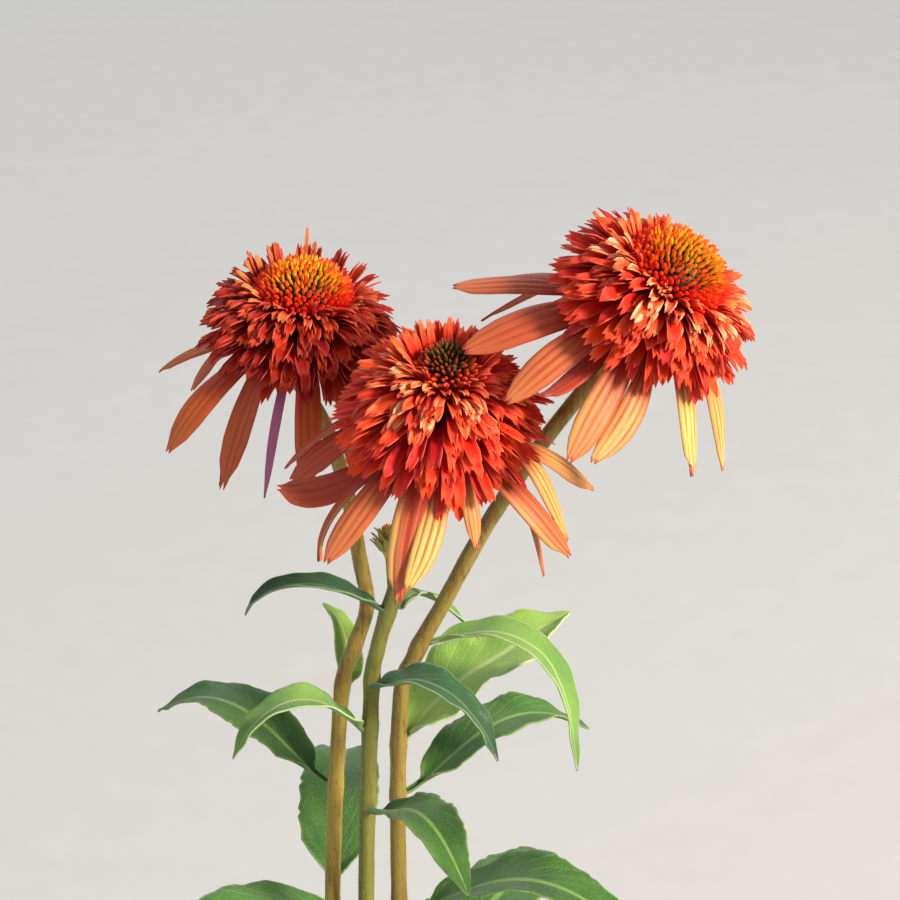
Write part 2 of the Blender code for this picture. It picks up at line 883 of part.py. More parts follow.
def at_height(path, height):
    for a, b in zip(path, path[1:]):
        if a.z <= height <= b.z:
            return a.lerp(b, (height - a.z) / (b.z - a.z))
    return path[-1].copy()


def leaf_blade(spine, width, fold, stalk, grow=0.0):
    """A lance-shaped leaf with coarse teeth on a thick stalk. stalk is its share."""
    shares = [0.0] if stalk < 0.1 else [0.0, stalk * 0.35, stalk * 0.7]
    plain = len(shares)
    shares += [stalk + (1 - stalk) * u for u in LEAF_SHARES]
    points = along(spine, shares)
    rings = []
    up = Vector((0, 0, 1))
    side = (spine[-1] - spine[0]).cross(up).normalized()
    for k, (centre, forward) in enumerate(zip(points, tangents(points))):
        level = forward.cross(up)
        if level.length > 0.25:
            side = level.normalized()
        side = (side - forward * side.dot(forward)).normalized()
        normal = side.cross(forward)
        if k < plain:
            half, thick, lift = STALK_WIDTH / 2, STALK_THICK, 0
        else:
            u = LEAF_SHARES[k - plain]
            shape = 2.26 * u**0.45 * (1 - u) ** 0.8  # 1 at its widest, near a third
            tooth = 1.0 if (k - plain) % 2 else LEAF_MARGIN
            half = max(width / 2 * shape * tooth, LEAF_TIP)
            thick = LEAF_THICK + (STALK_THICK - LEAF_THICK) * (1 - u) ** 6
            lift = fold * half
        rings.append(
            flat_ring(centre, side, normal, half + grow, lift, thick + 2 * grow)
        )
    return skin(rings)


def bezier(points, count):
    """Points along a cubic Bezier curve."""
    a, b, c, d = points
    made = []
    for k in range(count):
        t = k / (count - 1)
        s = 1 - t
        made.append(a * s**3 + b * 3 * s * s * t + c * 3 * s * t * t + d * t**3)
    return made


def stem_leaf_spine(path, height, compass, length):
    """A leaf that leaves its stem level, rises, and arches over to its tip."""
    turn = math.radians(compass)
    outward = Vector((math.cos(turn), math.sin(turn), 0))
    up = Vector((0, 0, 1))
    start = at_height(path, height)
    start += outward * (STEM_FOOT_RADIUS + 0.6 * MM)
    return bezier(
        [
            start,
            start + outward * length * 0.16,
            start + outward * length * 0.42 + up * length * 0.52,
            start + outward * length * 0.9 + up * length * 0.10,
        ],
        40,
    )


def crown_leaf_spine(compass, foot, length, rise):
    """A stalk straight up out of the soil that arches out over the pot."""
    turn = math.radians(compass)
    outward = Vector((math.cos(turn), math.sin(turn), 0))
    up = Vector((0, 0, 1))
    base = outward * foot * MM + up * (SOIL_TOP - FOOT_DEPTH)
    bend = base + up * (FOOT_DEPTH + 6 * MM)
    reach = (length - rise * 0.6) * MM
    arch = bezier(
        [
            bend,
            bend + up * rise * MM * 0.85,
            bend + outward * reach * 0.45 + up * rise * MM * 1.25,
            bend + outward * reach + up * rise * MM * 0.42,
        ],
        40,
    )
    return [base] + arch


def grown_stem_leaf(path, leaf, turn, grow=0.0):
    """A leaf of the given height, compass angle, length and width, turned by some degrees."""
    height, compass, length, width = leaf
    spine = stem_leaf_spine(path, height * MM, compass + turn, length * MM)
    return leaf_blade(spine, width * MM, STEM_LEAF_FOLD, STEM_LEAF_STALK, grow)


def grown_crown_leaf(leaf, turn, grow=0.0):
    """A leaf with its stalk from the soil, turned round the plant by some degrees."""
    compass, foot, length, width, rise = leaf
    spine = crown_leaf_spine(compass + turn, foot, length, rise)
    return leaf_blade(spine, width * MM, CROWN_LEAF_FOLD, CROWN_LEAF_STALK, grow)


def place_leaf(name, grown, obstacles):
    """Adds the leaf where it first stands clear, and returns the turn that it took."""
    (turn,) = clear_of(grown, LEAF_TRIALS, obstacles) or (0,)
    leaf = add_object(name, grown(turn), "leaf")
    obstacles.append(tree_of(leaf))
    return turn


def make_leaves(paths, obstacles):
    """Every leaf as its own piece. Returns where the crown leaves' stalks stand."""
    feet = []
    for name, (points, width, fold, colour) in SEEN_LEAVES.items():
        spine = smooth_path([Vector(point) * MM for point in points], 40)
        leaf = add_object(name, leaf_blade(spine, width * MM, fold, SEEN_STALK), colour)
        obstacles.append(tree_of(leaf))
    for number, (key, *leaf) in enumerate(STEM_LEAVES):
        grown = partial(grown_stem_leaf, paths[key], leaf)
        place_leaf(f"stem_leaf_{number + 1}", grown, obstacles)
    for number, leaf in enumerate(CROWN_LEAVES):
        grown = partial(grown_crown_leaf, leaf)
        turn = place_leaf(f"crown_leaf_{number + 1}", grown, obstacles)
        compass, foot = leaf[:2]
        around = math.radians(compass + turn)
        feet.append((foot * MM * math.cos(around), foot * MM * math.sin(around)))
    return feet


def make_bud():
    """A small closed bud, with bracts pressed round it, on its side stem."""
    path = smooth_path([Vector(point) * MM for point in BUD_STEM], 6)
    stem = add_object("bud_stem", tube(path, [BUD_STEM_RADIUS] * 6, 6), "leaf_pale", 40)
    axis = (tangents(path)[-1] + Vector((0, 0, 1.6))).normalized()
    base = path[-1] + axis * (GAP + BUD_STEM_RADIUS)
    frame = Matrix.Translation(base) @ axis.to_track_quat("Z", "Y").to_matrix().to_4x4()
    high, wide = BUD_HEIGHT, BUD_RADIUS
    profile = [(0, 0), (wide * 0.62, high * 0.06), (wide, high * 0.34)]
    profile += [(wide * 0.8, high * 0.7), (0, high)]
    bm = turned(profile, 9)
    bm.transform(frame)
    bud = add_object("bud", bm, "bud")
    pieces = []
    for k in range(BUD_BRACTS):
        turn = math.tau * (k + 0.23) / BUD_BRACTS
        outward = Vector((math.cos(turn), math.sin(turn), 0))
        side = Vector((-math.sin(turn), math.cos(turn), 0))
        rings = []
        for out, height, half in ((0.5, 0.12, 0.8), (1.12, 0.31, 1.1)):
            centre = outward * wide * out + Vector((0, 0, high * height))
            rings.append(thin_ring(centre, side, outward, half * MM, 0, 0.8 * MM))
        tip = outward * wide * 1.4 + Vector((0, 0, high * 0.6))
        bm = skin(rings, (tip - side * 0.3 * MM, tip + side * 0.3 * MM))
        bm.transform(frame)
        pieces.append(add_object(f"bud_bract_{k}", bm, "bud"))
    combine(bud, pieces, "UNION", "MANIFOLD")
    return stem, bud


def pot_radius(height):
    """The pot's outer radius at a height on its sloping wall."""
    return POT_FOOT_RADIUS + (POT_TOP_RADIUS - POT_FOOT_RADIUS) * height / POT_HEIGHT


def make_pot():
    band = POT_HEIGHT - RIM_HEIGHT
    lip = 1.2 * MM
    profile = [
        (0, 0),
        (POT_FOOT_RADIUS - 2 * MM, 0),
        (pot_radius(2 * MM), 2 * MM),
        (pot_radius(band), band),
        (pot_radius(band) + RIM_OUT, band + lip),
        (POT_TOP_RADIUS + RIM_OUT, POT_HEIGHT - lip),
        (POT_TOP_RADIUS + RIM_OUT - lip, POT_HEIGHT),
        (POT_TOP_RADIUS - POT_WALL + lip, POT_HEIGHT),
        (POT_TOP_RADIUS - POT_WALL, POT_HEIGHT - lip),
        (pot_radius(POT_WALL) - POT_WALL, POT_WALL),
        (0, POT_WALL),
    ]
    pot = add_object("pot", turned(profile, POT_SIDES), "pot", 35)
    cutters = []
    for k in range(DRAIN_COUNT):
        turn = math.tau * k / DRAIN_COUNT
        bm = bmesh.new()
        place = Vector((DRAIN_RING * math.cos(turn), DRAIN_RING * math.sin(turn), 0))
        bmesh.ops.create_cone(
            bm,
            cap_ends=True,
            segments=8,
            radius1=DRAIN_RADIUS,
            radius2=DRAIN_RADIUS,
            depth=POT_WALL * 4,
            matrix=Matrix.Translation(place),
        )
        cutters.append(add_object(f"drain_cutter_{k}", bm, "pot"))
    combine(pot, cutters, "DIFFERENCE")
    return pot


def make_soil(feet):
    """Soil that fills the pot, with an uneven top and a plain hole for every stalk."""
    wall = POT_WALL + GAP
    base = POT_WALL + GAP
    shares = (0.94, 0.64, 0.32)
    shoulder = SOIL_TOP - 3 * MM
    edge = pot_radius(shoulder) - wall
    profile = [
        (0, base),
        (pot_radius(base) - wall, base),
        (edge, shoulder),
    ]
    profile += [(edge * share, SOIL_TOP) for share in shares]
    profile.append((0, SOIL_TOP))
    bm = turned(profile, POT_SIDES)
    for vert in bm.verts:
        if vert.co.z > SOIL_TOP - 1 * MM:
            x, y = vert.co.x / MM, vert.co.y / MM
            wave = math.sin(x * 0.21 + 1.3) * math.cos(y * 0.17) + 0.5 * math.sin(
                x * 0.46 - y * 0.39
            )
            vert.co.z += SOIL_ROUGH * wave
    soil = add_object("soil", bm, "soil")
    cutters = []
    for x, y, radius in feet:
        bm = bmesh.new()
        bmesh.ops.create_cone(
            bm,
            cap_ends=True,
            segments=8,
            radius1=radius,
            radius2=radius,
            depth=2 * (FOOT_DEPTH + GAP),
            matrix=Matrix.Translation((x, y, SOIL_TOP)),
        )
        cutters.append(add_object(f"hole_cutter_{len(cutters)}", bm, "soil"))
    combine(soil, cutters, "DIFFERENCE")
    return soil


def main():
    clear_scene()
    rng = random.Random(SEED)
    obstacles = []
    paths = {}
    feet = []
    for key in STEMS:
        path = stem_path(key)
        paths[key] = path
        top = len(path) - 1
        radii = [
            STEM_FOOT_RADIUS + (STEM_TOP_RADIUS - STEM_FOOT_RADIUS) * k / top
            for k in range(top + 1)
        ]
        stem = add_object(f"stem_{key}", tube(path, radii, 8), "stem", 50)
        obstacles.append(tree_of(stem))
        x, y = STEMS[key]["foot"]
        feet.append((x * MM, y * MM, STEM_FOOT_RADIUS + HOLE_CLEARANCE))

    frames = {key: head_frame(bloom) for key, bloom in BLOOMS.items()}
    for key, frame in frames.items():
        obstacles.append(tree_of(make_cup(key, frame)))
    for key in ("b", "c", "a"):
        rays = make_rays(key, frames[key], BLOOMS[key], obstacles)
        obstacles.append(tree_of(rays))
    for key, frame in frames.items():
        obstacles.append(tree_of(make_cone(key, frame, BLOOMS[key]["head"])))
    for key, frame in frames.items():
        head = make_pompom(key, frame, BLOOMS[key]["head"], obstacles, rng)
        obstacles.append(tree_of(head))
    for piece in make_bud():
        obstacles.append(tree_of(piece))
    for x, y in make_leaves(paths, obstacles):
        feet.append((x, y, STALK_WIDTH / 2 + HOLE_CLEARANCE + 0.4 * MM))
    make_pot()
    make_soil(feet)


main()
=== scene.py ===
import math
import random

import bmesh
import bpy
from mathutils import Matrix, Vector, noise


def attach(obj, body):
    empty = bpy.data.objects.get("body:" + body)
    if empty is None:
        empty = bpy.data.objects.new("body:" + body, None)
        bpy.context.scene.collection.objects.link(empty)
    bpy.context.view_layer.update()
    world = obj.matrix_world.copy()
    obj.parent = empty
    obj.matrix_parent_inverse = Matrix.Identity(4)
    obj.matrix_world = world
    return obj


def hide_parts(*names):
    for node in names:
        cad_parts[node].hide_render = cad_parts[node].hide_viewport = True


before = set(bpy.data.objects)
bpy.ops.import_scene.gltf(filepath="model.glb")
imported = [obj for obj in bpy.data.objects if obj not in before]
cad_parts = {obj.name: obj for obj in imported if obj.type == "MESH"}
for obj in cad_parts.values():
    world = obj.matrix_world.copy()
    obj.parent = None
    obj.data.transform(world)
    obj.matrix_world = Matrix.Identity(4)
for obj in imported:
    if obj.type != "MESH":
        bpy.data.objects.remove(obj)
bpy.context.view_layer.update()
print("frame loaded:", len(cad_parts), "nodes")

mm = 0.001
upward = Vector((0, 0, 1))
goldenAngle = math.pi * (3 - math.sqrt(5))


def tint(code, alpha=1.0):  # a colour as six hex digits, to linear light
    parts = [int(code[k:k + 2], 16) / 255 for k in (0, 2, 4)]
    return (*[c / 12.92 if c <= 0.04045 else ((c + 0.055) / 1.055) ** 2.4 for c in parts], alpha)


def smoothStep(low, high, value):
    share = min(max((value - low) / (high - low), 0.0), 1.0)
    return share * share * (3 - 2 * share)


def between(table, value):  # straight-line reading of a table of (key, value) pairs
    for (k0, v0), (k1, v1) in zip(table, table[1:]):
        if value <= k1:
            share = max((value - k0) / (k1 - k0), 0.0)
            return v0 + (v1 - v0) * share
    return table[-1][1]


def spokes(turn):  # level directions out along a turn about Z, and sideways from it
    return Vector((math.cos(turn), math.sin(turn), 0)), Vector((-math.sin(turn), math.cos(turn), 0))


# Node helpers

def feed(tree, socket, value):  # links another node's socket, or sets a plain value
    if isinstance(value, bpy.types.NodeSocket):
        tree.links.new(value, socket)
    else:
        socket.default_value = value


def addNode(tree, kind, inputs=None, **settings):
    made = tree.nodes.new(kind)
    for key, value in settings.items():
        setattr(made, key, value)
    for key, value in (inputs or {}).items():
        feed(tree, made.inputs[key], value)
    return made


def sums(tree, operation, a, b=0.0, c=0.0):
    return addNode(tree, "ShaderNodeMath", {0: a, 1: b, 2: c}, operation=operation).outputs[0]


def times(tree, value, *others):
    for other in others:
        value = sums(tree, "MULTIPLY", value, other)
    return value


def nudged(tree, value, grain, gain):  # moves a value up or down with a grain between 0 and 1
    return sums(tree, "MULTIPLY_ADD", sums(tree, "SUBTRACT", grain, 0.5), gain, value)


def fromMiddle(tree, u):  # 0 on a blade's midline, 1 at its edges
    return sums(tree, "ABSOLUTE", sums(tree, "MULTIPLY_ADD", u, 2.0, -1.0))


def spread(tree, value, low, high, newLow=0.0, newHigh=1.0):
    inputs = {0: value, 1: low, 2: high, 3: newLow, 4: newHigh}
    return addNode(tree, "ShaderNodeMapRange", inputs, interpolation_type="SMOOTHSTEP").outputs[0]


def blend(tree, share, a, b):  # each colour is a socket or six hex digits
    first, second = (tint(colour) if isinstance(colour, str) else colour for colour in (a, b))
    return addNode(tree, "ShaderNodeMix", {0: share, 6: first, 7: second}, data_type="RGBA").outputs[2]


def colourRamp(tree, share, stops):
    made = addNode(tree, "ShaderNodeValToRGB", {0: share})
    ramp = made.color_ramp
    for place, code in stops[1:-1]:
        ramp.elements.new(place)
    for element, (place, code) in zip(ramp.elements, stops):
        element.position = place
        element.color = tint(code)
    return made.outputs[0]


def speckle(tree, vector, scale, detail=2.0, rough=0.5):  # three scales draw the grain out
    if isinstance(scale, tuple):
        vector = addNode(tree, "ShaderNodeMapping", {"Vector": vector, "Scale": scale}).outputs[0]
        scale = 1.0
    inputs = {"Vector": vector, "Scale": scale, "Detail": detail, "Roughness": rough}
    return addNode(tree, "ShaderNodeTexNoise", inputs).outputs[0]


def attribute(tree, name):
    return addNode(tree, "ShaderNodeAttribute", attribute_name=name).outputs["Fac"]


def ownPatch(tree, where, tone, jump):  # gives each blade its own part of a pattern
    shift = addNode(tree, "ShaderNodeCombineXYZ", {0: times(tree, tone, jump), 1: tone}).outputs[0]
    return addNode(tree, "ShaderNodeVectorMath", {0: where, 1: shift}, operation="ADD").outputs[0]


def objectPlace(tree):
    return addNode(tree, "ShaderNodeTexCoord").outputs["Object"]


def surfacePlace(tree):  # the UV map, then u across and v along a blade
    where = addNode(tree, "ShaderNodeUVMap", uv_map="UVMap").outputs[0]
    parts = addNode(tree, "ShaderNodeSeparateXYZ", {0: where})
    return where, parts.outputs[0], parts.outputs[1]


def newFinish(name, soft=0.0, softDepth=1.5, sheen=0.0, gloss=0.4):  # gloss is the specular level
    made = bpy.data.materials.new(name)
    made.use_nodes = True
    shader = made.node_tree.nodes["Principled BSDF"]
    shader.inputs["Subsurface Weight"].default_value = soft
    shader.inputs["Subsurface Radius"].default_value = (1.0, 0.35, 0.2)
    shader.inputs["Subsurface Scale"].default_value = softDepth * mm
    shader.inputs["Sheen Weight"].default_value = sheen
    shader.inputs["Sheen Roughness"].default_value = 0.4
    shader.inputs["Specular IOR Level"].default_value = gloss
    return made, made.node_tree, shader


def dress(tree, shader, colour, roughness, height, depth=0.2, strength=0.6):
    feed(tree, shader.inputs["Base Color"], colour)
    feed(tree, shader.inputs["Roughness"], roughness)
    inputs = {"Height": height, "Strength": strength, "Distance": depth * mm}
    tree.links.new(addNode(tree, "ShaderNodeBump", inputs).outputs[0], shader.inputs["Normal"])


# Mesh helpers

def startMesh():
    bm = bmesh.new()
    bm.loops.layers.uv.new("UVMap")
    for name in ("tone", "tier", "sun"):
        bm.verts.layers.float.new(name)
    return bm


def mark(bm, verts, tone, tier, sun=0.0):
    for name, value in (("tone", tone), ("tier", tier), ("sun", sun)):
        layer = bm.verts.layers.float[name]
        for vert in verts:
            vert[layer] = value


def facesOf(verts):
    return {face for vert in verts for face in vert.link_faces}


def layGrid(bm, across, along):  # a flat grid from -1 to 1 each way, and its UV map from 0 to 1
    verts = bmesh.ops.create_grid(bm, x_segments=across, y_segments=along, size=1.0)["verts"]
    uvLayer = bm.loops.layers.uv["UVMap"]
    for vert in verts:
        for loop in vert.link_loops:
            loop[uvLayer].uv = ((vert.co.x + 1) / 2, (vert.co.y + 1) / 2)
    return verts


def addBlade(bm, across, stations, relief=None, tip=None, edge=None, tone=0.0, tier=0.0, sun=0.0, lit=None):
    # a grid laid over stations: centre, forward, normal, half width, bow of its arc, share of the tip's teeth
    along = len(stations) - 1
    verts = layGrid(bm, across, along)
    mark(bm, verts, tone, tier, sun)
    sunLayer = bm.verts.layers.float["sun"]
    for vert in verts:
        x, v = vert.co.x, (vert.co.y + 1) / 2
        if lit:
            vert[sunLayer] = lit(x)
        centre, forward, normal, half, bow, toothed = stations[round(v * along)]
        side = forward.cross(normal)
        if abs(bow) > 0.02:
            out, up = half / bow * math.sin(x * bow), half / bow * (1 - math.cos(x * bow))
        else:
            out, up = half * x, 0.0
        if relief:
            up += relief(x, v)
        if edge:
            out += edge(x, v, half)
        ahead = toothed * tip(x) if tip and toothed else 0.0
        vert.co = centre + side * out + normal * up + forward * ahead
    return facesOf(verts)


def thicken(bm, faces, thick, underSlot):  # gives open blades a second side, which takes the under finish
    bm.normal_update()
    bm.faces.index_update()
    ordered = sorted(faces, key=lambda face: face.index)
    normals = {tuple(vert.co): vert.normal.copy() for face in ordered for vert in face.verts}
    before = set(bm.faces)
    made = bmesh.ops.extrude_face_region(bm, geom=ordered, use_keep_orig=True)["geom"]
    for item in made:
        if isinstance(item, bmesh.types.BMVert):
            item.co -= normals[tuple(item.co)] * thick * mm
        elif isinstance(item, bmesh.types.BMFace):
            item.material_index = underSlot
    walls = [face for face in bm.faces if face not in before]
    bmesh.ops.reverse_faces(bm, faces=ordered + walls)


def turnProfile(bm, profile, steps, slot=0):  # a lathe about Z, from radius and height in millimetres
    verts = [bm.verts.new((radius * mm, 0, height * mm)) for radius, height in profile]
    edges = [bm.edges.new(pair) for pair in zip(verts, verts[1:])]
    before = set(bm.faces)
    bmesh.ops.spin(
        bm, geom=verts + edges, cent=(0, 0, 0), axis=(0, 0, 1),
        angle=math.tau, steps=steps, use_merge=True,
    )
    around = list({vert for face in bm.faces if face not in before for vert in face.verts})
    bmesh.ops.remove_doubles(bm, verts=around, dist=0.002 * mm)
    faces = [face for face in bm.faces if face not in before]
    bmesh.ops.recalc_face_normals(bm, faces=faces)
    for face in faces:
        face.material_index = slot


def pour(bm, small):  # moves a small mesh into the big one: operators slow down as a mesh grows
    passing = bpy.data.meshes.new("passing")
    small.to_mesh(passing)
    small.free()
    bm.from_mesh(passing)
    bpy.data.meshes.remove(passing)


def inBatches(bm, count, addOne, size=60):
    for start in range(0, count, size):
        small = startMesh()
        for k in range(start, min(start + size, count)):
            addOne(small, k)
        pour(bm, small)


def aimed(base, direction):  # stands a shape that points up Z on a base, along a direction
    return Matrix.Translation(base) @ direction.to_track_quat("Z", "Y").to_matrix().to_4x4()


def addSpike(bm, base, direction, length, foot, point, sides, tone=0.0, tier=0.0, slot=1):
    verts = bmesh.ops.create_cone(
        bm, cap_ends=True, segments=sides, radius1=foot, radius2=point, depth=length,
        matrix=aimed(base + direction * length / 2, direction),
    )["verts"]
    mark(bm, verts, tone, tier)
    uvLayer = bm.loops.layers.uv["UVMap"]
    for face in facesOf(verts):
        face.material_index = slot
        for loop in face.loops:
            loop[uvLayer].uv = (0.5, (loop.vert.co - base).dot(direction) / length)


def addSpindle(bm, base, direction, length, thick, tone, tier):  # a blunt rod, widest under its tip
    verts = bmesh.ops.create_uvsphere(bm, u_segments=6, v_segments=5, radius=1.0)["verts"]
    mark(bm, verts, tone, tier)
    uvLayer = bm.loops.layers.uv["UVMap"]
    for vert in verts:
        rise = (vert.co.z + 1) / 2
        for loop in vert.link_loops:
            loop[uvLayer].uv = (0.5, rise)
        swell = thick * (0.8 + 0.35 * rise)
        vert.co = Vector((vert.co.x * swell, vert.co.y * swell, rise * length))
    bmesh.ops.transform(bm, matrix=aimed(base, direction), verts=verts)


def finishPiece(name, node, bm, finishes, sharp=None):
    mesh = bpy.data.meshes.new(name)
    bm.to_mesh(mesh)
    bm.free()
    mesh.shade_smooth()
    if sharp is not None:
        mesh.set_sharp_from_angle(angle=math.radians(sharp))
    for finish in finishes:
        mesh.materials.append(finish)
    piece = bpy.data.objects.new(name, mesh)
    bpy.context.scene.collection.objects.link(piece)
    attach(piece, "root")
    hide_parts(node)
    return piece


# Paths

def alongPath(path, shares):
    lengths = [0.0]
    for a, b in zip(path, path[1:]):
        lengths.append(lengths[-1] + (b - a).length)
    found, k = [], 0
    for share in shares:
        goal = share * lengths[-1]
        while k < len(path) - 2 and lengths[k + 1] < goal:
            k += 1
        span = max(lengths[k + 1] - lengths[k], 1e-9)
        found.append(path[k].lerp(path[k + 1], min((goal - lengths[k]) / span, 1)))
    return found


def smoothPath(points, count):
    ends = [2 * points[0] - points[1], *points, 2 * points[-1] - points[-2]]
    fine = []
    for p0, p1, p2, p3 in zip(ends, ends[1:], ends[2:], ends[3:]):
        for k in range(24):
            t = k / 24
            fine.append(0.5 * (
                2 * p1 + (p2 - p0) * t + (2 * p0 - 5 * p1 + 4 * p2 - p3) * t * t
                + (3 * p1 - p0 - 3 * p2 + p3) * t * t * t
            ))
    fine.append(points[-1].copy())
    return alongPath(fine, [k / (count - 1) for k in range(count)])


def directions(path):
    ahead = path[1:] + [2 * path[-1] - path[-2]]
    behind = [2 * path[0] - path[1]] + path[:-1]
    return [(a - b).normalized() for a, b in zip(ahead, behind)]


def cubic(points, count):
    a, b, c, d = points
    shares = [k / (count - 1) for k in range(count)]
    return [
        a * (1 - t)**3 + b * 3 * (1 - t) * (1 - t) * t + c * 3 * (1 - t) * t * t + d * t**3 for t in shares
    ]


# Camera and lamps: the view looks a little down on the middle bloom, the light comes from the right

stage = {
    "camera": {"place": (0.022132, -0.70270, 0.740595), "tilt": 65.0, "lens": 111.0, "clip": (0.02, 60.0)},
    "lamps": [
        {"name": "keyLamp", "place": (2.56, -1.67, 2.18), "size": 0.80, "power": 225.0, "tone": "fff1de"},
        {"name": "fillLamp", "place": (-2.6, -2.0, 1.6), "size": 2.6, "power": 20.0, "tone": "dde4ff"},
        {"name": "backLamp", "place": (-0.7, 2.6, 2.4), "size": 2.0, "power": 30.0, "tone": "f6f6ff"},
    ],
    "aim": (0.02, 0.0, 0.40), "sky": "eef1f4", "skyPower": 0.46, "floorHalf": 20.0, "view": "Standard",
}


def addToScene(name, data, place=(0, 0, 0), turn=(0, 0, 0)):
    made = bpy.data.objects.new(name, data)
    made.location = place
    made.rotation_euler = turn
    bpy.context.scene.collection.objects.link(made)
    return made


def makeStage():
    look = stage["camera"]
    camera = bpy.data.cameras.new("viewCamera")
    camera.lens = look["lens"]
    camera.sensor_width = 36.0
    camera.clip_start, camera.clip_end = look["clip"]
    tilt = (math.radians(look["tilt"]), 0, 0)
    bpy.context.scene.camera = addToScene("viewCamera", camera, look["place"], tilt)
    for lamp in stage["lamps"]:
        light = bpy.data.lights.new(lamp["name"], "AREA")
        light.shape = "DISK"
        light.size = lamp["size"]
        light.energy = lamp["power"]
        light.color = tint(lamp["tone"])[:3]
        aim = Vector(stage["aim"]) - Vector(lamp["place"])
        addToScene(lamp["name"], light, lamp["place"], aim.to_track_quat("-Z", "Y").to_euler())
    world = bpy.data.worlds.new("studioSky")
    world.use_nodes = True
    sky = world.node_tree.nodes["Background"]
    sky.inputs[0].default_value = tint(stage["sky"])
    sky.inputs[1].default_value = stage["skyPower"]
    bpy.context.scene.world = world
    bpy.context.scene.view_settings.view_transform = stage["view"]
    bm = bmesh.new()
    bmesh.ops.create_grid(bm, x_segments=2, y_segments=2, size=stage["floorHalf"])
    mesh = bpy.data.meshes.new("studioFloor")
    bm.to_mesh(mesh)
    bm.free()
    finish, tree, shader = newFinish("floorPaper", gloss=0.2)
    grain = speckle(tree, objectPlace(tree), 40.0, 3.0)
    feed(tree, shader.inputs["Base Color"], blend(tree, grain, "c0c2c2", "c6c8c8"))
    feed(tree, shader.inputs["Roughness"], 0.9)
    mesh.materials.append(finish)
    addToScene("studioFloor", mesh)
    print("camera, lamps and floor set")


# Finishes. tone is a random number for each blade, tier runs from outer blades to inner ones, and sun is each
# blade's share of painted sunlight

def floretFinish(name, stops, crimson, warm, pale):
    finish, tree, shader = newFinish(name, soft=0.08, softDepth=0.8, gloss=0.16)
    where, u, v = surfacePlace(tree)
    tone, tier, sun = (attribute(tree, key) for key in ("tone", "tier", "sun"))
    streak = speckle(tree, ownPatch(tree, where, tone, 31.0), (11.0, 1.1, 1.0), 3.0)
    # the ramp along the floret darkens toward its root: partly its own colour, partly painted shade deep in
    # the head
    reach = nudged(tree, v, streak, 0.3)
    # painted shade: crimson on florets whose sun share is low, more on some than others by their tone
    paintedShadeShare = times(tree, spread(tree, tone, 0.65, 0.0), spread(tree, sun, 0.5, 0.0, 0.05, 0.6))
    colour = blend(tree, paintedShadeShare, colourRamp(tree, reach, stops), crimson)
    orange = times(tree, spread(tree, tone, 0.65, 1.0), spread(tree, reach, 0.2, 0.9, 0.05, 0.4))
    colour = blend(tree, orange, colour, warm)
    away = fromMiddle(tree, u)
    # painted sunlight: orange-red, then cream, where the sun share says light falls: the tips first, and the
    # margins before the groove
    paintedSunShare = times(
        tree, sun, spread(tree, reach, 0.3, 0.9), spread(tree, away, 0.0, 0.8, 0.55, 1.0),
        spread(tree, streak, 0.32, 0.62, 0.5, 1.0),
    )
    colour = blend(tree, spread(tree, paintedSunShare, 0.0, 0.5), colour, "f06434")
    colour = blend(tree, spread(tree, paintedSunShare, 0.35, 0.95), colour, pale)
    # the inner florets' tips turn orange: partly their own colour, partly painted sunlight as it grows with
    # the sun share
    inner = times(
        tree, spread(tree, tier, 0.84, 0.95), spread(tree, v, 0.45, 0.9),
        spread(tree, sun, 0.0, 0.3, 0.1, 0.65),
    )
    colour = blend(tree, inner, colour, "ec9a50")
    rim = times(tree, sums(tree, "POWER", away, 9.0), spread(tree, v, 0.3, 1.0, 0.05, 0.4))
    colour = blend(tree, rim, colour, "ea7a64")
    dress(tree, shader, colour, spread(tree, streak, 0.2, 0.8, 0.42, 0.56), streak, 0.3, 0.8)
    return finish


def floretUnderFinish():
    finish, tree, shader = newFinish("floretUnder", soft=0.08, softDepth=0.8, gloss=0.16)
    where, u, v = surfacePlace(tree)
    tone, sun = attribute(tree, "tone"), attribute(tree, "sun")
    streak = speckle(tree, where, (12.0, 1.5, 1.0), 2.0)
    colour = colourRamp(tree, sums(tree, "MULTIPLY_ADD", streak, 0.2, v), [
        (0.0, "80100a"), (0.4, "b22016"), (0.8, "c83420"), (1.0, "d85638"),
    ])
    # painted shade: mauve on the underside where the sun share is low
    mauve = times(tree, spread(tree, tone, 0.3, 1.0), spread(tree, sun, 0.7, 0.0, 0.1, 0.45))
    dress(tree, shader, blend(tree, mauve, colour, "8c2440"), 0.52, streak, 0.2)
    return finish


